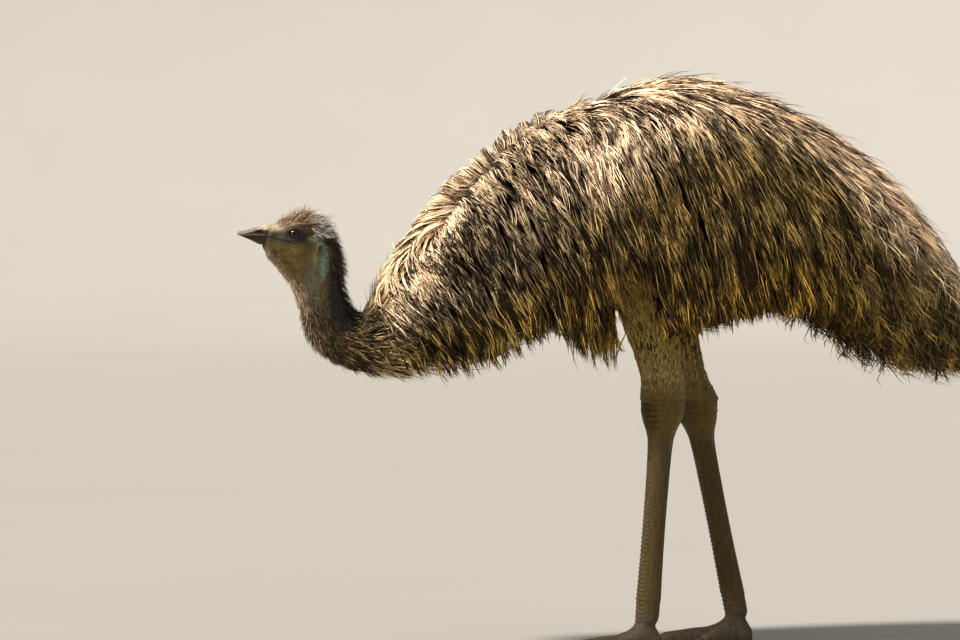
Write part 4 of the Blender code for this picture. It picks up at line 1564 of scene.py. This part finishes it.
# %% Grow the hair of the head
def face_look(roots, out, rng):
    """Stubble on the face, fuzz on the crown, a fringe down the nape."""
    top = step_up(out[:, 2], 0.35, 0.85) * (roots[:, 2] > 0.755)
    back = step_up(out[:, 1], 0.25, 0.65)
    front = step_up(-out[:, 1], 0.1, 0.6) * (roots[:, 2] < 0.725)
    length = 0.0036 + 0.006 * top + 0.013 * back + 0.005 * front
    length = length * rng.uniform(0.6, 1.3, len(roots))
    frizzy = back * (rng.random(len(roots)) > 0.72) * (roots[:, 1] > -0.56)
    lift = 0.34 + 0.5 * top + 0.5 * back + 0.42 * front + 0.25 * frizzy
    width = 0.0003 + 0.00008 * top + 0.00012 * back
    colour = layered(face_colour(roots, out), ((0.11, 0.08, 0.05), 0.6 * frizzy))
    return down_the_neck(roots), lift, length + 0.006 * frizzy, width, colour


def crown_look(roots, out, rng):
    """Bristles that stand up from the crown and lean back."""
    y = roots[:, 1]
    hind = step_up(y, -0.57, -0.545)
    length = rng.uniform(0.01, 0.03, len(roots)) * (0.5 + 0.5 * step_up(y, -0.62, -0.575))
    length = length * (1 - 0.25 * hind)
    long_wisps = (rng.random(len(roots)) < 0.05) & (np.abs(y + 0.575) < 0.02)
    length = np.where(long_wisps, length + 0.014, length)
    lift = rng.uniform(0.6, 1.45, len(roots))
    way = down_the_neck(roots)
    way[:, 0] += rng.normal(0, 0.45, len(roots))
    way[:, 1] += rng.normal(0, 0.3, len(roots))
    pick = rng.random(len(roots))
    colour = layered(face_colour(roots, out),
                     ((1.0, 0.72, 0.5), pick * (1 - hind) > 0.36),
                     ((1.0, 0.96, 0.88), pick * hind > 0.28),
                     ((0.03, 0.024, 0.019), pick < 0.3 - 0.04 * hind))
    return way, lift, length, 0.00028 + 0.00024 * hind * (pick > 0.32), colour


hair = short_hair("hair_head", on_head, 8500, face_look, 1, face_hair_finish, head_unwrap, 31)
hair = short_hair("hair_crown", on_crown, 2100, crown_look, 2, face_hair_finish, head_unwrap, 32)


# %% Grow the hair of the neck
def neck_look(roots, out, rng):
    """Dark hair down the neck, longer and standing off at the nape."""
    back = step_up(out[:, 1], 0.2, 0.65)
    low = step_down(roots[:, 2], 0.58, 0.66)
    front = step_up(-out[:, 1], 0.3, 0.8)
    length = 0.0075 + 0.0085 * low + 0.012 * back + 0.003 * front
    length = length * rng.uniform(0.6, 1.3, len(roots))
    lift = 0.26 + 0.52 * back + 0.28 * front + 0.12 * low
    return down_the_neck(roots), lift, length, 0.00036 + 0.00026 * low, face_colour(roots, out)


hair = short_hair("hair_neck", on_neck, 8400, neck_look, 1, neck_hair_finish, neck_unwrap, 33)


# %% Grow the ruff where the neck meets the body
def ruff_look(roots, out, rng):
    """Loose tufts round the foot of the neck, paler toward the body."""
    near_body = step_up(roots[:, 1], -0.515, -0.42)
    length = (0.018 + 0.028 * near_body) * rng.uniform(0.7, 1.25, len(roots))
    lift = rng.uniform(0.15, 0.65, len(roots))
    colour = layered((0.13, 0.086, 0.03), ((0.39, 0.29, 0.165), near_body ** 1.3))
    return down_the_neck(roots), lift, length, 0.0006 + 0.0005 * near_body, colour


at_ruff = band(y, -0.54, -0.5, -0.405, -0.385) * step_up(1.3 * (y + 0.47) - z, -0.63, -0.6)
ruff = short_hair("feathers_ruff", at_ruff, 3600, ruff_look, 2, coat_finish, neck_unwrap, 34)

# %% Grow the feathers of the thighs
THIGH_HEIGHTS = [0.42, 0.47, 0.5, 0.58, 0.66]
THIGH_LENGTHS = [0.005, 0.009, 0.013, 0.021, 0.036]


def thigh_look(roots, out, rng):
    """Short feathers that lie down the thigh and end at the hock."""
    z = roots[:, 2]
    length = np.interp(z, THIGH_HEIGHTS, THIGH_LENGTHS) * rng.uniform(0.6, 1.3, len(roots))
    colour = layered((0.49, 0.34, 0.084),
                     ((0.42, 0.255, 0.055), step_up(z, 0.55, 0.64)),
                     ((0.56, 0.44, 0.2), 0.7 * step_down(z, 0.48, 0.54)),
                     ((0.14, 0.096, 0.03), 0.9 * step_down(z, 0.448, 0.495)))
    way = np.tile([0.0, 0.1, -1.0], (len(roots), 1))
    return way, 0.16, length, np.interp(z, [0.43, 0.56], [0.0006, 0.0011]), colour


def thigh_weight(side):
    """Where feathers grow on one thigh, with a ragged lower edge at the hock."""
    hub_x, hub_y = leg_centre(side, z).T
    low_edge = np.where(y > hub_y + 0.006, 0.415, 0.445) + 0.006 * np.sin(y * 400)
    weight = (x * side > 0.03) * step_down(z, 0.66, 0.7) * step_up(z - low_edge, -0.01, 0.045)
    weight = weight * (1 + 0.8 * (ways[:, 0] * side > 0.2))
    return weight * (np.hypot(x - hub_x, y - hub_y) < 0.115)


for word, side in SIDES.items():
    def leg_middle(height, side=side):
        return leg_centre(side, height)[:, 1]

    coat = short_hair("feathers_thigh_" + word, thigh_weight(side), 8500, thigh_look, 1,
                      thigh_finish, round_unwrap(leg_middle, 0.44, 0.72), 35 + side)

# %% [markdown]
# ## Floor and light
# A plain pale floor and soft light stand in for a studio. The photograph was taken in warm sun
# from above and ahead of the bird, so the key light is warm and comes from there, on the
# viewer's side. A weaker one, lower and on the far side, draws a bright rim along throat and
# shoulders. Both are suns with a wide disc: they light the whole floor evenly, and their shadows
# have soft edges. The sky is weak, so that the gaps between the locks stay dark, and the floor
# curves up far behind the bird, so that no horizon shows.

# %% Lay the floor and its cove
FLOOR_REACH = 36.0
COVE_RISE = 9.0
COVE_STEPS = 12

form = bmesh.new()
profile = [(0.0, 0.0), (FLOOR_REACH, 0.0)]
for step in range(1, COVE_STEPS + 1):
    turn = math.pi / 2 * step / COVE_STEPS
    profile.append((FLOOR_REACH + COVE_RISE * math.sin(turn), COVE_RISE * (1 - math.cos(turn))))
line = [form.verts.new((reach, 0, height)) for reach, height in profile]
edges = [form.edges.new(pair) for pair in zip(line, line[1:])]
bmesh.ops.spin(form, geom=line + edges, cent=(0, 0, 0), axis=(0, 0, 1), angle=math.tau, steps=96)
bmesh.ops.remove_doubles(form, verts=form.verts, dist=1e-4)
bmesh.ops.recalc_face_normals(form, faces=form.faces)
floor_finish, shader, place = start_finish("floor", roughness=0.9, specular=0.1)
connect(shader, Base_Color=place.noise(0.8, 4.0).mix((0.5, 0.49, 0.475), (0.53, 0.52, 0.505)))
floor = show(keep(form, bpy.data.meshes.new("floor")), "floor", floor_finish)
print("floor", 2 * (FLOOR_REACH + COVE_RISE), "m across")

# %% Hang the lights
LIGHTS = {
    "key": ((1.3, -2.6, 3.6), 9.0, 4.3, (1.0, 0.92, 0.81)),
    "rim": ((-1.6, -3.2, 1.0), 14.0, 2.3, (1.0, 0.9, 0.76)),
}
LIT_HEIGHT = 0.65

for name, (where, softness, power, colour) in LIGHTS.items():
    lamp = bpy.data.lights.new(name, "SUN")
    lamp.angle = math.radians(softness)
    lamp.energy = power
    lamp.color = colour
    light = bpy.data.objects.new(name, lamp)
    light.location = where
    aim = Vector((0, 0, LIT_HEIGHT)) - light.location
    light.rotation_euler = aim.to_track_quat("-Z", "Y").to_euler()
    bpy.context.scene.collection.objects.link(light)
world = bpy.data.worlds.new("studio")
world.use_nodes = True
sky = world.node_tree.nodes["Background"]
sky.inputs["Color"].default_value = (0.94, 0.9, 0.82, 1.0)
sky.inputs["Strength"].default_value = 0.34
bpy.context.scene.world = world
bpy.context.scene.view_settings.view_transform = "Standard"
print("two broad lights and a pale sky")
